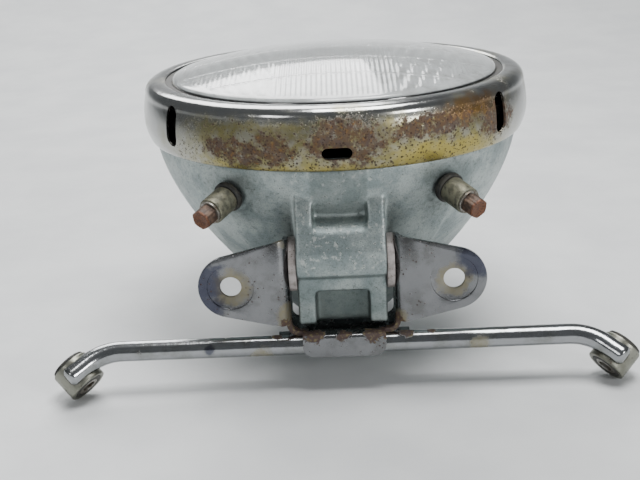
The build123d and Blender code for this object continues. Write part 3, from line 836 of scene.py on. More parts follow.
@dataclass(frozen=True)
class CastAlloy:
    """Dull cast aluminium, mottled and pitted, darker and rougher round its screws, with painted shade in its
    hollows and towards its bottom, and a painted highlight of whitish speckles on the arm's front.
    """

    light: Colour = tone(172, 181, 179)
    shade: Colour = tone(134, 146, 146)
    # dark tone: real grain and mottle, and also the painted shade
    dirt: Colour = tone(72, 81, 78)
    # whitish tone of the painted highlight on the arm's front
    chalk: Colour = tone(222, 226, 222)
    screw: tuple[float, float, float] = (46.0, -70.0, 90.0)
    screw_darkening_reach: tuple[float, float] = (7.0, 24.0)
    between_ribs: tuple[float, float] = (11.5, 13.5)
    arm_depth: tuple[float, float] = (-88.0, -84.0)
    pocket_below: tuple[float, float] = (47.0, 50.0)
    pocket_mouth: tuple[float, float] = (-96.5, -94.0)
    recess_above: tuple[float, float] = (78.0, 81.0)
    underside: tuple[float, float] = (34.0, 62.0)
    chalk_depth: tuple[float, float] = (-92.0, -84.0)
    chalk_above: tuple[float, float] = (56.0, 60.0)

    def build(self) -> bpy.types.Material:
        """Make the material.

        Returns:
            The material.
        """
        p = Paint("cast_alloy")
        large = p.noise(15, 4, 0.6)
        small = p.noise(2.4, 4, 0.65, seed=0.5)
        grain = p.noise(0.7, 3, 0.7, seed=1.5)
        pits = p.specks(1.5, 0.12, 0.22, 0.2) * small.step(0.45, 0.6)
        x, y, z = self.screw
        from_screw = ((abs(p.x) - x) ** 2 + (p.y - y) ** 2 + (p.z - z) ** 2) ** 0.5
        # darker and rougher round the screws
        screw_darkening = from_screw.fall(*self.screw_darkening_reach) * (small * 0.5 + 0.5)
        inner = abs(p.x).fall(*self.between_ribs) * p.y.fall(*self.arm_depth)
        # painted shade: the lower pocket under the arm's nose is darkened
        pocket_shade = inner * p.z.fall(*self.pocket_below) * p.y.step(*self.pocket_mouth, 0.35, 1.0)
        # painted shade: the recess between the ribs above the crease is darkened
        recess_shade = inner * p.z.step(*self.recess_above) * 0.35
        # painted shade: darker towards the bottom of the bowl and arm
        under = p.z.fall(*self.underside) * 0.35
        colour = p.mix(large.step(0.35, 0.66), self.light, self.shade)
        colour = p.mix(grain.step(0.45, 0.7) * 0.4, colour, self.dirt)
        colour = p.mix(small.step(0.52, 0.72) * 0.4, colour, self.dirt)
        # painted highlight: whitish speckles on the upper front of the arm and bowl, where the light falls
        painted_highlight = small.step(0.55, 0.66) * p.y.fall(*self.chalk_depth) * p.z.step(*self.chalk_above)
        colour = p.mix(painted_highlight * 0.5, colour, self.chalk)
        # painted shade in the pocket, the recess and towards the bottom, together with the darkening round
        # the screws; the pits are added on top
        shade_and_screw_darkening = strongest([screw_darkening * 0.6, pocket_shade * 0.75, recess_shade, under])
        colour = p.mix(shade_and_screw_darkening.most(pits * 0.8), colour, self.dirt)
        height = grain * 0.5 + small * 0.6 - pits
        return p.surface(
            Base_Color=colour,
            Metallic=0.8,
            Roughness=0.36 + small * 0.16 + screw_darkening * 0.1,
            Normal=p.bump(height, 0.2, p.bump(large, 0.5)),
        )


@dataclass(frozen=True)
class LensGlass:
    """Pressed glass: fine upright flutes in the middle, broad ones at the sides, beaded row edges with a
    painted highlight, and a flank painted near black for the black gasket and the shade in the gap under the
    rim.
    """

    pitch: float = 2.3
    block: float = FLUTE_BLOCK
    bead: float = 5.2
    fine_within: tuple[float, float] = (24.0, 32.0)
    ridge: tuple[float, float] = (0.3, 1.7)
    clear_radius: tuple[float, float] = (76.0, 79.0)
    gasket_shade_from: tuple[float, float] = (81.2, 81.7)
    gasket_shade_below: tuple[float, float] = (131.5, 132.3)

    def build(self) -> bpy.types.Material:
        """Make the material.

        Returns:
            The material.
        """
        p = Paint("lens_glass")
        reach = (p.x**2 + p.y**2) ** 0.5
        inside = reach.fall(*self.clear_radius)
        middle = abs(p.x).fall(*self.fine_within)
        fine = (p.x * (FULL_TURN / self.pitch)).sine() * 0.5 + 0.5
        lean = abs(p.x) + abs(p.y) * FLUTE_LEAN
        broad = (lean * (FULL_TURN / self.block)).sine() * 0.5 + 0.5
        flutes = fine * (middle * 0.75 + 0.25) + broad * (1 - middle) * 1.6
        row = strongest([p.y.near(place, *self.ridge) for place in FLUTE_ROWS])
        beads = row * ((p.x * (FULL_TURN / self.bead)).sine() * 0.4 + 0.6)
        dust = p.noise(9, 4, 0.6).step(0.42, 0.7)
        # painted shade, partly real: the glass flank under the rim's lip is painted near black for the black
        # gasket behind it and the shade in the gap
        wall = reach.step(*self.gasket_shade_from) * p.z.fall(*self.gasket_shade_below)
        colour = p.mix(dust * 0.8, tone(226, 230, 230), tone(188, 190, 188))
        # painted highlight: the bead rows are painted near white
        colour = p.mix(beads * inside * 0.7, colour, tone(250, 252, 252))
        colour = p.mix(wall, colour, tone(20, 20, 20))
        return p.surface(
            Base_Color=colour,
            Roughness=0.1 + dust * 0.1,
            IOR=1.5,
            Transmission_Weight=0.5,
            Coat_Weight=0.8,
            Coat_Roughness=0.06,
            Normal=p.bump((flutes + beads * 1.4) * inside, 0.3),
        )


@dataclass(frozen=True)
class PlatedSteel:
    """Plated steel sheet or bar, with yellowed stains, dark bloom and rust.

    The stains gather near the listed places: x, y, z and reach in millimetres.
    """

    name: str
    metal: Colour = tone(190, 192, 192)
    haze: Colour = tone(150, 150, 140)
    rust: Colour = tone(64, 43, 36)
    yellow: Colour = tone(140, 128, 78)
    bloom: Colour = tone(44, 48, 72)
    shine: float = 0.2
    rust_at: tuple[tuple[float, float, float, float], ...] = ()
    bloom_at: tuple[tuple[float, float, float, float], ...] = ()
    ring_at: tuple[tuple[float, float, float, float], ...] = ()
    scatter: float = 0.1

    def near(self, p: Paint, spots: tuple[tuple[float, float, float, float], ...], seed: float) -> Sock:
        """How near each point is to the listed spots, with a ragged edge.

        Args:
            p: The material in the making.
            spots: Places and reaches.
            seed: Shift of the raggedness.

        Returns:
            1 at a spot and 0 away from it.
        """
        ragged = (p.noise(5, 4, 0.65, seed=seed) - 0.5) * 1.3
        found = [
            ((((p.x - x) ** 2 + (p.y - y) ** 2 + (p.z - z) ** 2) ** 0.5) / reach + ragged).fall(0.5, 1.0)
            for x, y, z, reach in spots
        ]
        return strongest(found) if found else ragged * 0.0

    def build(self) -> bpy.types.Material:
        """Make the material.

        Returns:
            The material.
        """
        p = Paint(self.name)
        cloud = p.noise(8, 4, 0.6)
        fine = p.noise(1.6, 3, 0.6, seed=0.4)
        rust = self.near(p, self.rust_at, 1.0)
        bloom = self.near(p, self.bloom_at, 2.0)
        ring = self.near(p, self.ring_at, 3.0)
        rust = (rust * 1.3 - fine.step(0.4, 0.6, 0.55, 0.0)).step(0.1, 0.6)
        flecks = p.specks(2.1, 0.12, 0.24, 0.6) * (cloud + self.scatter).step(0.55, 0.7)
        colour = p.mix(cloud.step(0.4, 0.7) * 0.6, self.metal, self.haze)
        colour = p.mix(ring * (fine * 0.5 + 0.2), colour, self.yellow)
        colour = p.mix(bloom * 0.7, colour, self.bloom)
        colour = p.mix(rust * 0.9, colour, p.mix(fine.step(0.52, 0.66) * 0.5, self.rust, self.yellow))
        colour = p.mix(flecks * 0.8, colour, self.rust)
        crust = rust.most(flecks)
        return p.surface(
            Base_Color=colour,
            Metallic=1 - crust * 0.8 - ring * 0.2,
            Roughness=self.shine + cloud * 0.12 + crust * 0.4 + ring * 0.14,
            Normal=p.bump(crust + fine * 0.12, 0.14, p.bump(cloud, 0.18)),
        )


@dataclass(frozen=True)
class Blend:
    """A simple finish: two tones in clouds, with grain and specks."""

    name: str
    first: Colour
    second: Colour
    metallic: float = 0.0
    rough: float = 0.5
    cloud: float = 4.0
    grain: float = 0.7
    relief: float = 0.08
    speck: Optional[Colour] = None

    def build(self) -> bpy.types.Material:
        """Make the material.

        Returns:
            The material.
        """
        p = Paint(self.name)
        cloud = p.noise(self.cloud, 4, 0.6)
        fine = p.noise(self.grain, 3, 0.6, seed=0.8)
        colour = p.mix(cloud.step(0.38, 0.64), self.first, self.second)
        height = fine
        if self.speck is not None:
            spots = p.specks(1.4, 0.14, 0.28, 0.3) * cloud.step(0.4, 0.6)
            colour = p.mix(spots, colour, self.speck)
            height = fine - spots * 0.5
        return p.surface(
            Base_Color=colour,
            Metallic=self.metallic,
            Roughness=self.rough + (cloud - 0.5) * 0.2,
            Normal=p.bump(height, self.relief),
        )


@dataclass(frozen=True)
class RustyScrew:
    """Screw head with dark brown sides and a bright rust end face.

    The end face is where the depth along the screw, outward at this angle and tilt, passes the face's.
    """

    angle: float = SCREW_ANGLE
    tilt: float = SCREW_TILT
    face: float = 86.7
    side: Colour = tone(70, 56, 48)
    side_light: Colour = tone(104, 84, 70)
    end: Colour = tone(112, 72, 48)
    end_dark: Colour = tone(74, 48, 38)

    def build(self) -> bpy.types.Material:
        """Make the material.

        Returns:
            The material.
        """
        p = Paint("rusty_screw")
        swing, drop = math.radians(self.angle), math.radians(self.tilt)
        depth = (
            abs(p.x) * (math.sin(swing) * math.cos(drop))
            - p.y * (math.cos(swing) * math.cos(drop))
            - p.z * math.sin(drop)
        )
        fine = p.noise(0.7, 3, 0.65, seed=0.8)
        cloud = p.noise(2.4, 4, 0.6)
        on_face = (depth + (cloud - 0.5) * 1.2).step(self.face - 0.5, self.face + 0.1)
        sides = p.mix(cloud.step(0.4, 0.62), self.side, self.side_light)
        ends = p.mix(fine.step(0.42, 0.64), self.end, self.end_dark)
        return p.surface(
            Base_Color=p.mix(on_face, sides, ends),
            Metallic=0.35,
            Roughness=0.5 + (cloud - 0.5) * 0.3,
            Normal=p.bump(fine + cloud * 0.5, 0.18),
        )


@dataclass(frozen=True)
class ClearGlass:
    """Thin clear bulb glass with a faint smoky bloom."""

    def build(self) -> bpy.types.Material:
        """Make the material.

        Returns:
            The material.
        """
        p = Paint("bulb_glass")
        colour = p.mix(p.noise(6, 3).step(0.5, 0.8), tone(244, 246, 246), tone(190, 186, 178))
        return p.surface(Base_Color=colour, Roughness=0.04, IOR=1.45, Transmission_Weight=0.9)


# ------------------------------------------------------------------ the lamp head
@dataclass
class CastBowl:
    """Cast bowl with its raised front panel and hinge arm."""

    voxel: float = 0.95
    passes: int = 5

    def build(self, nodes: dict[str, bpy.types.Object], finish: bpy.types.Material) -> None:
        """Make the bowl from its CAD shape, with cast fillets.

        Args:
            nodes: The CAD objects by name.
            finish: The cast alloy.
        """
        shell = cast_copy(nodes, "bowl", "cast_bowl", self.voxel, self.passes)
        dressed(shell, Ride.LAMP, "cast_alloy", finish, "bowl")


@dataclass
class PressedRim:
    """Pressed chrome rim: one sheet, rolled at its lip and hemmed at its foot, with four slots.

    The sheet is a grid of turning angle by distance along its section.
    """

    bottom: float = RIM_FOOT
    height: float = 28.5
    radius: float = 97.0
    foot_radius: float = 94.4
    hem_radius: float = 92.4
    lip_radius: float = 85.2
    crown_radius: float = 88.6
    crown_height: float = 6.0
    widest: float = 0.46
    taper: float = 1.5
    foot_round: float = 0.55
    sheet: float = 1.1
    columns: int = 640
    rows: int = 46
    seam: float = math.pi / 3.05
    slots: tuple[tuple[float, float, float, float], ...] = (
        (-52, 15.5, 4.25, 9.5),
        (52, 15.5, 4.25, 9.5),
        (0, 8.6, 6.75, 2.7),
        (180, 8.6, 6.75, 2.7),
    )

    def section(self) -> np.ndarray:
        """Outer skin of the sheet from the hem up the flank and over the crown to the lip.

        The flank bulges as a parabola in height; the crown is a quarter of a rounded square:
        r = a + b cos(q)^0.8, h = c + d sin(q)^0.8 for q from 0 to a right angle.

        Returns:
            Radius and height above the rim's foot, in even steps.
        """
        hem = np.array([[self.hem_radius, 0.2], [self.foot_radius - 0.7, 0.0]])
        s = np.linspace(0, 1, 60)
        shoulder = self.height - self.crown_height
        bulge = self.radius - (self.radius - self.foot_radius) * (1 - s / self.widest) ** 2
        late = self.radius - self.taper * ((s - self.widest) / (1 - self.widest)) ** 2
        flank = np.stack(
            [np.where(s < self.widest, bulge, late), self.foot_round + s * (shoulder - self.foot_round)],
            axis=1,
        )
        q = np.linspace(0, math.pi / 2, 40)
        crown = np.stack(
            [
                self.crown_radius + (self.radius - self.taper - self.crown_radius) * np.cos(q) ** 0.8,
                shoulder + self.crown_height * np.sin(q) ** 0.8,
            ],
            axis=1,
        )
        lip = np.array([[self.lip_radius + 0.5, self.height - 0.1], [self.lip_radius, self.height - 0.7]])
        line = np.vstack([hem, flank, crown[1:], lip])
        gone = np.concatenate([[0], np.cumsum(np.linalg.norm(np.diff(line, axis=0), axis=1))])
        even = np.linspace(0, gone[-1], self.rows)
        return np.stack([np.interp(even, gone, line[:, k]) for k in (0, 1)], axis=1)

    def build(self, finish: bpy.types.Material) -> None:
        """Make the rim with open slots and a real sheet thickness.

        A grid point on the edge of a slot's block of cells moves to the slot's rounded outline:
        p' = c + b (p - c) / |p - c| round each end's centre c.

        Args:
            finish: The rim's material.
        """
        section = self.section()
        angle, level = np.meshgrid(
            np.linspace(-math.pi, math.pi, self.columns + 1) + self.seam, section[:, 1]
        )
        keep = np.ones((self.rows - 1, self.columns), bool)
        moved_angle, moved_level = angle.copy(), level.copy()
        flank = np.arange(self.rows) < np.argmax(section[:, 1] > self.height - 2.4)
        for degrees, middle, wide, high in self.slots:
            turn = (angle - math.radians(degrees) + math.pi) % FULL_TURN - math.pi
            x, y = turn * self.radius, level - middle
            inside = (np.abs(x) < wide) & (np.abs(y) < high) & flank[:, None]
            cells = inside[:-1, :-1] & inside[1:, :-1] & inside[:-1, 1:] & inside[1:, 1:]
            keep &= ~cells
            rows, columns = cells.shape
            corner = np.zeros(inside.shape, bool)
            for down, across in ((0, 0), (0, 1), (1, 0), (1, 1)):
                corner[down : rows + down, across : columns + across] |= cells
            deep = np.ones(inside.shape, bool)
            deep[1:-1, 1:-1] = cells[:-1, :-1] & cells[1:, :-1] & cells[:-1, 1:] & cells[1:, 1:]
            deep[0] = deep[-1] = False
            edge = corner & ~deep
            round_radius = min(wide, high)
            centre_x = np.clip(x, -(wide - round_radius), wide - round_radius)
            centre_y = np.clip(y, -(high - round_radius), high - round_radius)
            off_x, off_y = x - centre_x, y - centre_y
            length = np.maximum(np.hypot(off_x, off_y), 1e-6)
            snap_x = centre_x + off_x / length * round_radius
            snap_y = centre_y + off_y / length * round_radius
            moved_angle = np.where(edge, angle + (snap_x - x) / self.radius, moved_angle)
            moved_level = np.where(edge, level + (snap_y - y), moved_level)
        shift = moved_level - level
        flank_r = np.interp(moved_level, section[flank][:, 1], section[flank][:, 0])
        radius = np.where(np.abs(shift) > 0, flank_r, section[:, :1])
        points = np.stack(
            [radius * np.sin(moved_angle), -radius * np.cos(moved_angle), self.bottom + moved_level], axis=-1
        )
        rim = fresh_object("pressed_rim", points.reshape(-1, 3), grid_faces(*angle.shape, keep=keep))
        wall = rim.modifiers.new("sheet", "SOLIDIFY")
        wall.thickness = self.sheet * MM
        wall.offset = -1.0
        applied(rim)
        rim.data.polygons.foreach_set("use_smooth", np.ones(len(rim.data.polygons), bool))
        dressed(sharpen(rim, 50), Ride.LAMP, "rim_chrome", finish, "rim")


@dataclass
class PressedLens:
    """Domed glass: smooth outside, with blocks of flutes pressed into its inside."""

    radius: float = 82.0
    edge: float = 133.2
    rise: float = 10.0
    flange_top: float = 127.1
    flange_bottom: float = 121.7
    flange_radius: float = 88.5
    glass: float = 3.5
    columns: int = 600
    rows: int = 72
    block: float = FLUTE_BLOCK
    flute_depth: float = 0.55
    ridge_depth: float = 0.5
    ridge_width: float = 1.3
    sides_from: float = 26.0
    sides_blend: float = 2.5
    fade: float = 3.0

    def dome(self, r: np.ndarray) -> np.ndarray:
        """Height of the outer dome: z = edge + rise - R + sqrt(R^2 - r^2), R the sphere's radius.

        Args:
            r: Distance from the lamp's axis.

        Returns:
            Height in millimetres.
        """
        reach = self.radius - 2
        sphere = (reach**2 + self.rise**2) / (2 * self.rise)
        return self.edge + self.rise - sphere + np.sqrt(sphere**2 - np.minimum(r, reach) ** 2)

    def pattern(self, x: np.ndarray, y: np.ndarray) -> np.ndarray:
        """Depth of the pressed pattern: leaning scallops at the sides and ridges between rows.

        Scallops are |sin| arches of width block along |x| + FLUTE_LEAN |y|; a ridge is a narrow bell in y.

        Args:
            x: Place across.
            y: Place in depth.

        Returns:
            Depth in millimetres.
        """
        lean = np.abs(x) + FLUTE_LEAN * np.abs(y)
        arches = np.abs(np.sin(math.pi * lean / self.block))
        sides = 1 / (1 + np.exp(-(np.abs(x) - self.sides_from) / self.sides_blend))
        ridges = sum(np.exp(-(((y - place) / self.ridge_width) ** 2)) for place in FLUTE_ROWS)
        return self.flute_depth * arches * sides + self.ridge_depth * ridges

    def build(self, finish: bpy.types.Material) -> None:
        """Make the lens as one closed turned skin: dome, flank, flange and patterned inside.

        Args:
            finish: The glass.
        """
        reach = np.linspace(0, self.radius - 2, self.rows)
        top = np.stack([reach, self.dome(reach)], axis=1)
        flank = np.array(
            [
                [self.radius - 1, self.edge - 0.55],
                [self.radius - 0.2, self.edge - 1.5],
                [self.radius, self.edge - 2.6],
                [self.radius, self.flange_top],
                [self.flange_radius - 0.4, self.flange_top],
                [self.flange_radius, self.flange_top - 0.5],
                [self.flange_radius, self.flange_bottom + 0.4],
                [self.flange_radius - 0.4, self.flange_bottom],
                [self.radius - self.glass, self.flange_bottom],
            ]
        )
        inner = np.linspace(self.radius - self.glass, 0, self.rows)
        under = np.stack([inner, self.dome(inner * (self.radius - 2) / (self.radius - self.glass))], axis=1)
        under[:, 1] -= self.glass
        line = np.vstack([top, flank, under])
        a, r = np.meshgrid(np.linspace(0, FULL_TURN, self.columns + 1), line[:, 0])
        z = np.repeat(line[:, 1:], self.columns + 1, axis=1)
        x, y = r * np.sin(a), -r * np.cos(a)
        patterned = np.zeros(len(line), bool)
        patterned[len(top) + len(flank) :] = True
        fade = np.clip((self.radius - self.glass - 1 - r) / self.fade, 0, 1) * patterned[:, None]
        z = z - self.pattern(x, y) * fade
        points = np.stack([x, y, z], axis=-1).reshape(-1, 3)
        glass = fresh_object("pressed_lens", points, grid_faces(*a.shape))
        dressed(sharpen(glass, 50), Ride.LAMP, "lens_glass", finish, "lens")


@dataclass
class UnitFixings:
    """The two screws that hold the light unit, each with ring, collar and rubber."""

    angle: float = SCREW_ANGLE
    tilt: float = SCREW_TILT
    height: float = 90.0
    wall_radius: float = 90.02
    boss: float = 1.0
    rubber: tuple[float, float] = (7.2, 3.0)
    collar: tuple[float, float] = (6.2, 12.0)
    ring: tuple[float, float] = (5.5, 1.2)
    head: tuple[float, float] = (4.45, 6.6)
    bore: float = 3.3
    shank: float = 3.0
    shank_end: float = -15.5
    centre: float = 0.01
    wear: float = 0.35

    def build(self, finishes: dict[str, bpy.types.Material]) -> None:
        """Make both screws and what they carry.

        Args:
            finishes: Materials by slot.
        """
        for side in Side:
            sine, cosine = math.sin(math.radians(self.angle)), math.cos(math.radians(self.angle))
            drop = math.radians(self.tilt)
            seat = np.array([side.value * self.wall_radius * sine, -self.wall_radius * cosine, self.height])
            axis = (side.value * sine * math.cos(drop), -cosine * math.cos(drop), -math.sin(drop))
            self.rings(side, seat, axis, finishes)
            self.screw(side, seat, axis, finishes["rusty_screw"])

    def rings(
        self, side: Side, seat: np.ndarray, axis: Sequence[float], finishes: dict[str, bpy.types.Material]
    ) -> None:
        """Make the rubber, the collar and the ring.

        Args:
            side: Which screw.
            seat: Where its axis meets the bowl.
            axis: Its outward direction.
            finishes: Materials by slot.
        """
        start = self.boss
        rows = (
            ("unit_rubber", self.rubber, 0.9, "black_rubber"),
            ("unit_collar", self.collar, 0.7, "zinc_collar"),
            ("unit_washer", self.ring, 0.3, "plain_steel"),
        )
        for name, (radius, length), edge, slot in rows:
            section = ring_profile(self.bore, radius, start, start + length, edge)
            piece = turned(f"{side.label}_{name}_turned", section, seat, axis, 64)
            dressed(piece, Ride.LAMP, slot, finishes[slot], f"{side.label}_{name}")
            start += length

    def screw(self, side: Side, seat: np.ndarray, axis: Sequence[float], finish: bpy.types.Material) -> None:
        """Make the screw: worn hexagon head with a dished face, and its shank.

        Args:
            side: Which screw.
            seat: Where its axis meets the bowl.
            axis: Its outward direction.
            finish: The screw's material.
        """
        low = self.boss + self.rubber[1] + self.collar[1] + self.ring[1]
        radius, height = self.head
        top = low + height
        outline = [
            (self.centre, top - 0.7),
            (radius * 0.55, top - 0.6),
            (radius * 0.78, top),
            (radius * 0.93, top - 0.1),
            (radius, top - 0.7),
            (radius, low + 0.5),
            (radius * 0.96, low + 0.02),
            (self.shank, low + 0.02),
            (self.shank, self.shank_end),
            (self.centre, self.shank_end),
        ]
        soft = hexagon(self.wear)

        def shape(a: np.ndarray, r: np.ndarray, h: np.ndarray) -> np.ndarray:
            """Put the hexagon on the head only, kept inside the head's own corners.

            Args:
                a: Angles.
                r: Radii.
                h: Heights.

            Returns:
                The factor on the radius.
            """
            ridges = 1 + 0.012 * np.sin(18 * a)
            return np.where((h > low + 0.01) & (r > self.shank + 0.2), soft(a, r, h) * 0.98 * ridges, 1.0)

        screw = turned(f"{side.label}_unit_screw_turned", np.array(outline), seat, axis, 96, shape)
        dressed(sharpen(screw, 40), Ride.LAMP, "rusty_screw", finish, f"{side.label}_unit_screw")


# ------------------------------------------------------------------ the bracket
@dataclass
class CrossRod:
    """Bent round rod: a tube of points carried along a line with two arcs."""

    radius: float = 4.75
    y: float = -92.45
    z: float = 21.25
    straight: float = 225.0
    leg: float = 13.3
    overrun: float = 7.0
    forward: float = 42.0
    drop: float = 20.8
    bend: float = 22.0
    eye_radius: float = 9.2
    eye_bore: float = 7.0
    eye_length: float = 13.5
    eye_tip: float = 42.0
    eye_offset: float = 8.0
    end_round: float = 2.2
    flange: float = 1.4
    grommet_wall: float = 2.0
    sleeve_bore: float = 3.2
    bite: float = 0.3
    end_zone: float = 8.0
    around: int = 48

    def leg_direction(self, side: Side) -> np.ndarray:
        """Find the outward direction of the bent end leg.

        Args:
            side: Which end.

        Returns:
            A unit vector.
        """
        flat, swing = math.cos(math.radians(self.drop)), math.radians(self.forward)
        return np.array(
            [side.value * flat * math.cos(swing), -flat * math.sin(swing), -math.sin(math.radians(self.drop))]
        )

    def corner(self, side: Side) -> np.ndarray:
        """Find where the straight run and the leg would meet.

        Args:
            side: Which end.

        Returns:
            The point.
        """
        return np.array([side.value * self.straight / 2, self.y, self.z])

    def eye_axes(self, side: Side) -> tuple[np.ndarray, np.ndarray, np.ndarray]:
        """Centre of an eye, the direction of its bore and the direction of the rod from it.

        Args:
            side: Which eye.

        Returns:
            The centre and the two unit directions.
        """
        leg = self.leg_direction(side)
        swing, tip = math.radians(self.forward), math.radians(self.eye_tip)
        level = np.array([-side.value * math.sin(swing), -math.cos(swing), 0.0])
        rise = np.cross(level, leg) * side.value
        bore = level * math.cos(tip) - rise * math.sin(tip)
        over = level * math.sin(tip) + rise * math.cos(tip)
        return self.corner(side) + leg * self.leg - over * self.eye_offset, bore, over

    def line(self) -> np.ndarray:
        """The rod's centre line: legs, arcs of the bend radius and the straight run.

        An arc point is centre + R (e1 cos q + e2 sin q), q from 0 to the turning angle.

        Returns:
            Points along the rod.
        """
        halves = []
        for side in Side:
            leg, inward = self.leg_direction(side), np.array([-side.value, 0.0, 0.0])
            turn = math.acos(float(np.dot(leg, -inward)))
            cut = self.bend * math.tan(turn / 2)
            start = self.corner(side) + inward * cut
            normal = leg + inward * float(np.dot(leg, -inward))
            normal = normal / np.linalg.norm(normal)
            centre = start + normal * self.bend
            q = np.linspace(0, turn, 14)[:, None]
            arc = centre + self.bend * (-normal * np.cos(q) - inward * np.sin(q))
            past = arc[-1] + leg * np.linspace(0.7, self.leg + self.overrun - cut, 22)[:, None]
            near = start + inward * np.linspace(self.straight / 2 - cut, 1.5, 30)[:, None]
            halves.append(np.vstack([near, arc, past]))
        return np.vstack([halves[0][::-1], halves[1][1:]])

    def rod(self, finish: bpy.types.Material) -> None:
        """Make the rod: rings of points square to the centre line, closed by domed ends.

        Its ends lie over the eyes: points that would be inside an eye move out to the eye's skin.

        Args:
            finish: The rod's material.
        """
        line = self.line()
        tangent = np.gradient(line, axis=0)
        tangent /= np.linalg.norm(tangent, axis=1, keepdims=True)
        up = np.array([0.0, 0.0, 1.0]) - tangent * tangent[:, 2:]
        up /= np.linalg.norm(up, axis=1, keepdims=True)
        over = np.cross(tangent, up)
        a = np.linspace(0, FULL_TURN, self.around + 1)[None, :, None]
        gone = np.concatenate([[0], np.cumsum(np.linalg.norm(np.diff(line, axis=0), axis=1))])
        left = np.clip(np.minimum(gone, gone[-1] - gone) / self.end_round, 0, 1)
        wide = (self.radius * np.sqrt(0.3 + 0.7 * (1 - (1 - left) ** 2)))[:, None, None]
        rings = line[:, None] + wide * (up[:, None] * np.cos(a) + over[:, None] * np.sin(a))
        rings = self.outside_eyes(rings)
        first, last = rings[:1].mean(axis=1, keepdims=True), rings[-1:].mean(axis=1, keepdims=True)
        full = np.ones((1, self.around + 1, 1))
        rings = np.concatenate([first * full, rings, last * full])
        rod = fresh_object("bent_rod", rings.reshape(-1, 3), grid_faces(*rings.shape[:2]))
        dressed(rod, Ride.BRACKET, "rod_chrome", finish, "cross_rod")

    def outside_eyes(self, rings: np.ndarray) -> np.ndarray:
        """Saddle the rod on its eyes: a point inside an eye's tube moves out to the tube's skin.

        With u along the rod's side of the eye and v along the leg, u' = max(u, sqrt(R^2 - v^2)).

        Args:
            rings: The rod's points.

        Returns:
            The points, none deeper in an eye than its skin less a little.
        """
        out = rings.copy()
        limit = self.eye_radius - self.bite
        for side in Side:
            centre, bore, over = self.eye_axes(side)
            away = out - centre
            u, v = away @ over, away @ np.cross(bore, over)
            skin = np.sqrt(np.maximum(limit**2 - v**2, 0))
            at_end = out[..., 0] * side.value > self.straight / 2 - self.end_zone
            inside = at_end & (np.abs(v) < limit) & (u < skin)
            out = out + np.where(inside, skin - u, 0.0)[..., None] * over
        return out

    def eyes(self, finishes: dict[str, bpy.types.Material]) -> None:
        """Make each end's eye, its rubber grommet and the sleeve in it.

        Args:
            finishes: Materials by slot.
        """
        half, bore = self.eye_length / 2, self.eye_bore - self.grommet_wall
        for side in Side:
            centre, axis, _ = self.eye_axes(side)
            eye = ring_profile(self.eye_bore, self.eye_radius, -half, half, 0.8)
            lip = self.eye_radius - 1
            rubber = rounded_profile(
                [
                    (bore, -half - self.flange),
                    (lip, -half - self.flange),
                    (lip, -half),
                    (self.eye_bore, -half),
                    (self.eye_bore, half),
                    (bore, half),
                ],
                [0.4, 0.6, 0.1, 0.05, 0.1, 0.4],
            )
            sleeve = ring_profile(self.sleeve_bore, bore, -half - self.flange, half, 0.35)
            rows = (
                ("rod_eye", eye, "rod_chrome"),
                ("eye_grommet", rubber, "black_rubber"),
                ("eye_sleeve", sleeve, "plain_steel"),
            )
            for name, section, slot in rows:
                piece = turned(f"{side.label}_{name}_turned", section, centre, axis, 80)
                key = "eye_metal" if name == "rod_eye" else slot
                dressed(sharpen(piece, 50), Ride.BRACKET, slot, finishes[key], f"{side.label}_{name}")


@dataclass
class BracketSheet:
    """The folded bracket with its ears, and the pivot's two friction washers."""

    edge: float = 0.45
    pivot: tuple[float, float, float] = (0.0, -86.5, 59.0)
    wall_in: float = 23.85
    washer: tuple[float, float] = (12.5, 3.45)
    bolt_hole: float = 4.2

    def build(self, nodes: dict[str, bpy.types.Object], finishes: dict[str, bpy.types.Material]) -> None:
        """Make the bracket sheet and the two friction washers.

        Args:
            nodes: The CAD objects by name.
            finishes: Materials by slot.
        """
        sheet = bevelled_copy(nodes, "mounting_bracket", "folded_bracket", self.edge)
        dressed(sheet, Ride.BRACKET, "bracket_plate", finishes["bracket_plate"], "mounting_bracket")
        radius, thick = self.washer
        for side in Side:
            section = ring_profile(self.bolt_hole, radius, -thick, 0, 0.6)
            place = (side.value * self.wall_in, self.pivot[1], self.pivot[2])
            piece = turned(f"{side.label}_friction_washer_turned", section, place, (side.value, 0, 0), 80)
            finish = finishes["grey_nylon"]
            dressed(piece, Ride.BRACKET, "grey_nylon", finish, f"{side.label}_friction_washer")


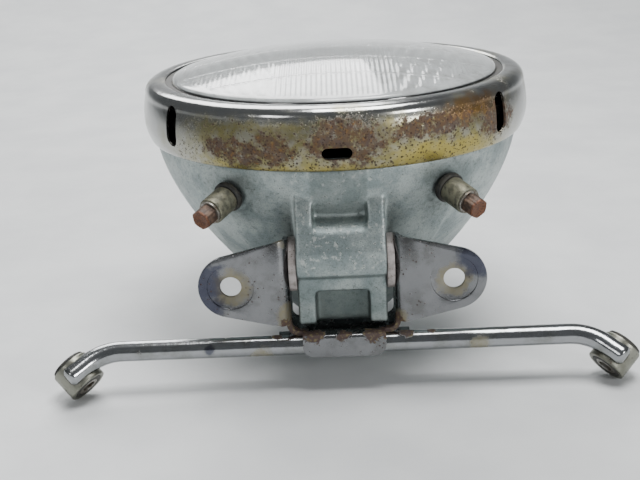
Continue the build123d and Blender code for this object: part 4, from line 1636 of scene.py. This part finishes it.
# ------------------------------------------------------------------ the studio
@dataclass
class Studio:
    """Pale floor, soft lights and the camera."""

    camera_at: tuple[float, float, float] = (-0.0010, -0.5463, 0.2287)
    pitch: float = 19.06
    heading: float = 1.03
    roll: float = -2.7
    focal: float = 60.47
    sensor: float = 36.0
    sky: float = 0.2
    middle: tuple[float, float, float] = (0.0, -0.03, 0.07)
    lights: tuple[tuple[str, tuple[float, float, float], float, float], ...] = (
        ("back_light", (-0.3, 1.1, 1.1), 1.0, 24.0),
        ("top_light", (0.15, -0.05, 1.25), 0.6, 19.0),
        ("front_light", (-0.9, -1.2, 0.75), 0.4, 3.0),
        ("side_light", (1.0, -1.1, 0.5), 0.3, 9.0),
    )

    def floor(self) -> None:
        """Make a floor that curves up into a wall: z = rise ((y - start) / run)^3 behind y = start."""
        start, run, rise = 500, 1500, 900
        x, y = np.meshgrid(np.linspace(-2500, 2500, 41), np.linspace(-1500, 2400, 120))
        z = rise * np.clip((y - start) / run, 0, None) ** 3
        points = np.stack([x, y, z], axis=-1).reshape(-1, 3)
        floor = fresh_object("floor", points, grid_faces(*x.shape), weld=False)
        p = Paint("pale_floor")
        colour = p.mix(p.noise(60, 3).step(0.3, 0.7), tone(204, 206, 207), tone(214, 216, 216))
        shade = p.surface(Base_Color=colour, Roughness=0.6, Normal=p.bump(p.noise(9, 2), 0.3))
        floor.data.materials.append(shade)

    def light(self, name: str, place: Sequence[float], size: float, watts: float) -> None:
        """Add one soft square light that faces the lamp's middle.

        Args:
            name: Its name.
            place: Where it hangs, in metres.
            size: Its side, in metres.
            watts: Its power.
        """
        data = bpy.data.lights.new(name, "AREA")
        data.size, data.energy = size, watts
        lamp = bpy.data.objects.new(name, data)
        lamp.location = place
        lamp.rotation_euler = (Vector(self.middle) - Vector(place)).to_track_quat("-Z", "Y").to_euler()
        bpy.context.scene.collection.objects.link(lamp)

    def build(self) -> None:
        """Set the floor, the lights, the sky and the camera."""
        self.floor()
        for row in self.lights:
            self.light(*row)
        world = bpy.data.worlds.new("soft_sky")
        world.use_nodes = True
        sky = world.node_tree.nodes["Background"]
        sky.inputs[0].default_value = (0.80, 0.84, 0.87, 1)
        sky.inputs[1].default_value = self.sky
        bpy.context.scene.world = world
        data = bpy.data.cameras.new("view")
        data.lens, data.sensor_width = self.focal, self.sensor
        data.clip_start, data.clip_end = 0.01, 20.0
        camera = bpy.data.objects.new("view", data)
        camera.matrix_world = (
            Matrix.Translation(self.camera_at)
            @ Matrix.Rotation(math.radians(self.heading), 4, "Z")
            @ Matrix.Rotation(math.radians(90 - self.pitch), 4, "X")
            @ Matrix.Rotation(math.radians(self.roll), 4, "Z")
        )
        bpy.context.scene.collection.objects.link(camera)
        bpy.context.scene.camera = camera


def finishes() -> dict[str, bpy.types.Material]:
    """Make every material, by slot.

    Returns:
        The materials.
    """
    bracket = PlatedSteel(
        "bracket_plate",
        metal=tone(128, 129, 131),
        haze=tone(96, 96, 94),
        shine=0.2,
        rust_at=((-23, -97, 30, 9), (23, -97, 30, 9), (0, -98, 29, 5), (13, -98, 29, 6), (-13, -98, 29, 6)),
        bloom_at=((-62, -99, 56, 13), (-60, -99, 44, 9), (60, -99, 62, 11)),
        ring_at=(
            (-50, -99, 53, 10),
            (50, -99, 53, 9),
            (-26, -96, 38, 7),
            (-28, -96, 72, 4),
            (26, -96, 34, 6),
        ),
    )
    rod = PlatedSteel(
        "rod_chrome",
        metal=tone(160, 162, 164),
        haze=tone(122, 124, 118),
        shine=0.13,
        rust_at=((29, -93, 27, 5), (40, -93, 27, 3), (-31, -93, 26, 3)),
        bloom_at=((-62, -97, 22, 3),),
        ring_at=((-38, -96, 17, 7), (62, -96, 19, 6)),
        scatter=-0.02,
    )
    eye = PlatedSteel(
        "eye_metal", metal=tone(138, 138, 128), haze=tone(96, 96, 84), shine=0.34, scatter=0.12
    )
    simple = (
        Blend("black_rubber", tone(34, 34, 33), tone(58, 56, 50), rough=0.62, cloud=3, grain=0.6, relief=0.1),
        Blend(
            "reflector_silver", tone(226, 228, 230), tone(206, 208, 206),
            metallic=1.0, rough=0.12, cloud=9, grain=2.0, relief=0.02,
        ),
        Blend(
            "plain_steel", tone(150, 148, 142), tone(106, 98, 86),
            metallic=0.85, rough=0.38, cloud=3, grain=0.6, relief=0.06, speck=tone(92, 58, 38),
        ),
        Blend(
            "zinc_collar", tone(128, 126, 108), tone(92, 92, 80),
            metallic=0.55, rough=0.48, cloud=3, grain=0.6, relief=0.1, speck=tone(62, 56, 46),
        ),
        Blend(
            "grey_nylon", tone(168, 160, 158), tone(134, 128, 124),
            metallic=0.1, rough=0.5, cloud=4, grain=0.8, relief=0.06, speck=tone(96, 84, 78),
        ),
        Blend(
            "brass_cap", tone(196, 164, 96), tone(158, 130, 80),
            metallic=0.9, rough=0.32, cloud=3, grain=0.6, relief=0.05,
        ),
    )
    made = {kind.name: kind.build() for kind in (*simple, bracket, rod, eye)}
    made["rim_chrome"] = RimChrome().build()
    made["cast_alloy"] = CastAlloy().build()
    made["lens_glass"] = LensGlass().build()
    made["bulb_glass"] = ClearGlass().build()
    made["rusty_screw"] = RustyScrew().build()
    return made


def dress_cad(frame: dict[str, Any], made: dict[str, bpy.types.Material]) -> None:
    """Give each CAD node that stays its slot's material.

    Args:
        made: Materials by slot.
    """
    for row in frame["record"]["subparts"]:
        node = frame["nodes"][row["node"]]
        if not node.hide_render:
            for place in node.material_slots:
                place.material = made[row["material_slot"]]
            LOG.info("node %s keeps its shape, in %s", row["node"], row["material_slot"])


def main() -> None:
    """Build the lamp, its bracket and the studio."""
    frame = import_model()
    nodes = frame["nodes"]
    made = finishes()
    Studio().build()
    CastBowl().build(nodes, made["cast_alloy"])
    PressedRim().build(made["rim_chrome"])
    PressedLens().build(made["lens_glass"])
    UnitFixings().build(made)
    rod = CrossRod()
    rod.rod(made["rod_chrome"])
    rod.eyes(made)
    BracketSheet().build(nodes, made)
    dress_cad(frame, made)


if __name__ == "__main__":
    logging.basicConfig(level=logging.INFO, format="%(message)s")
    main()
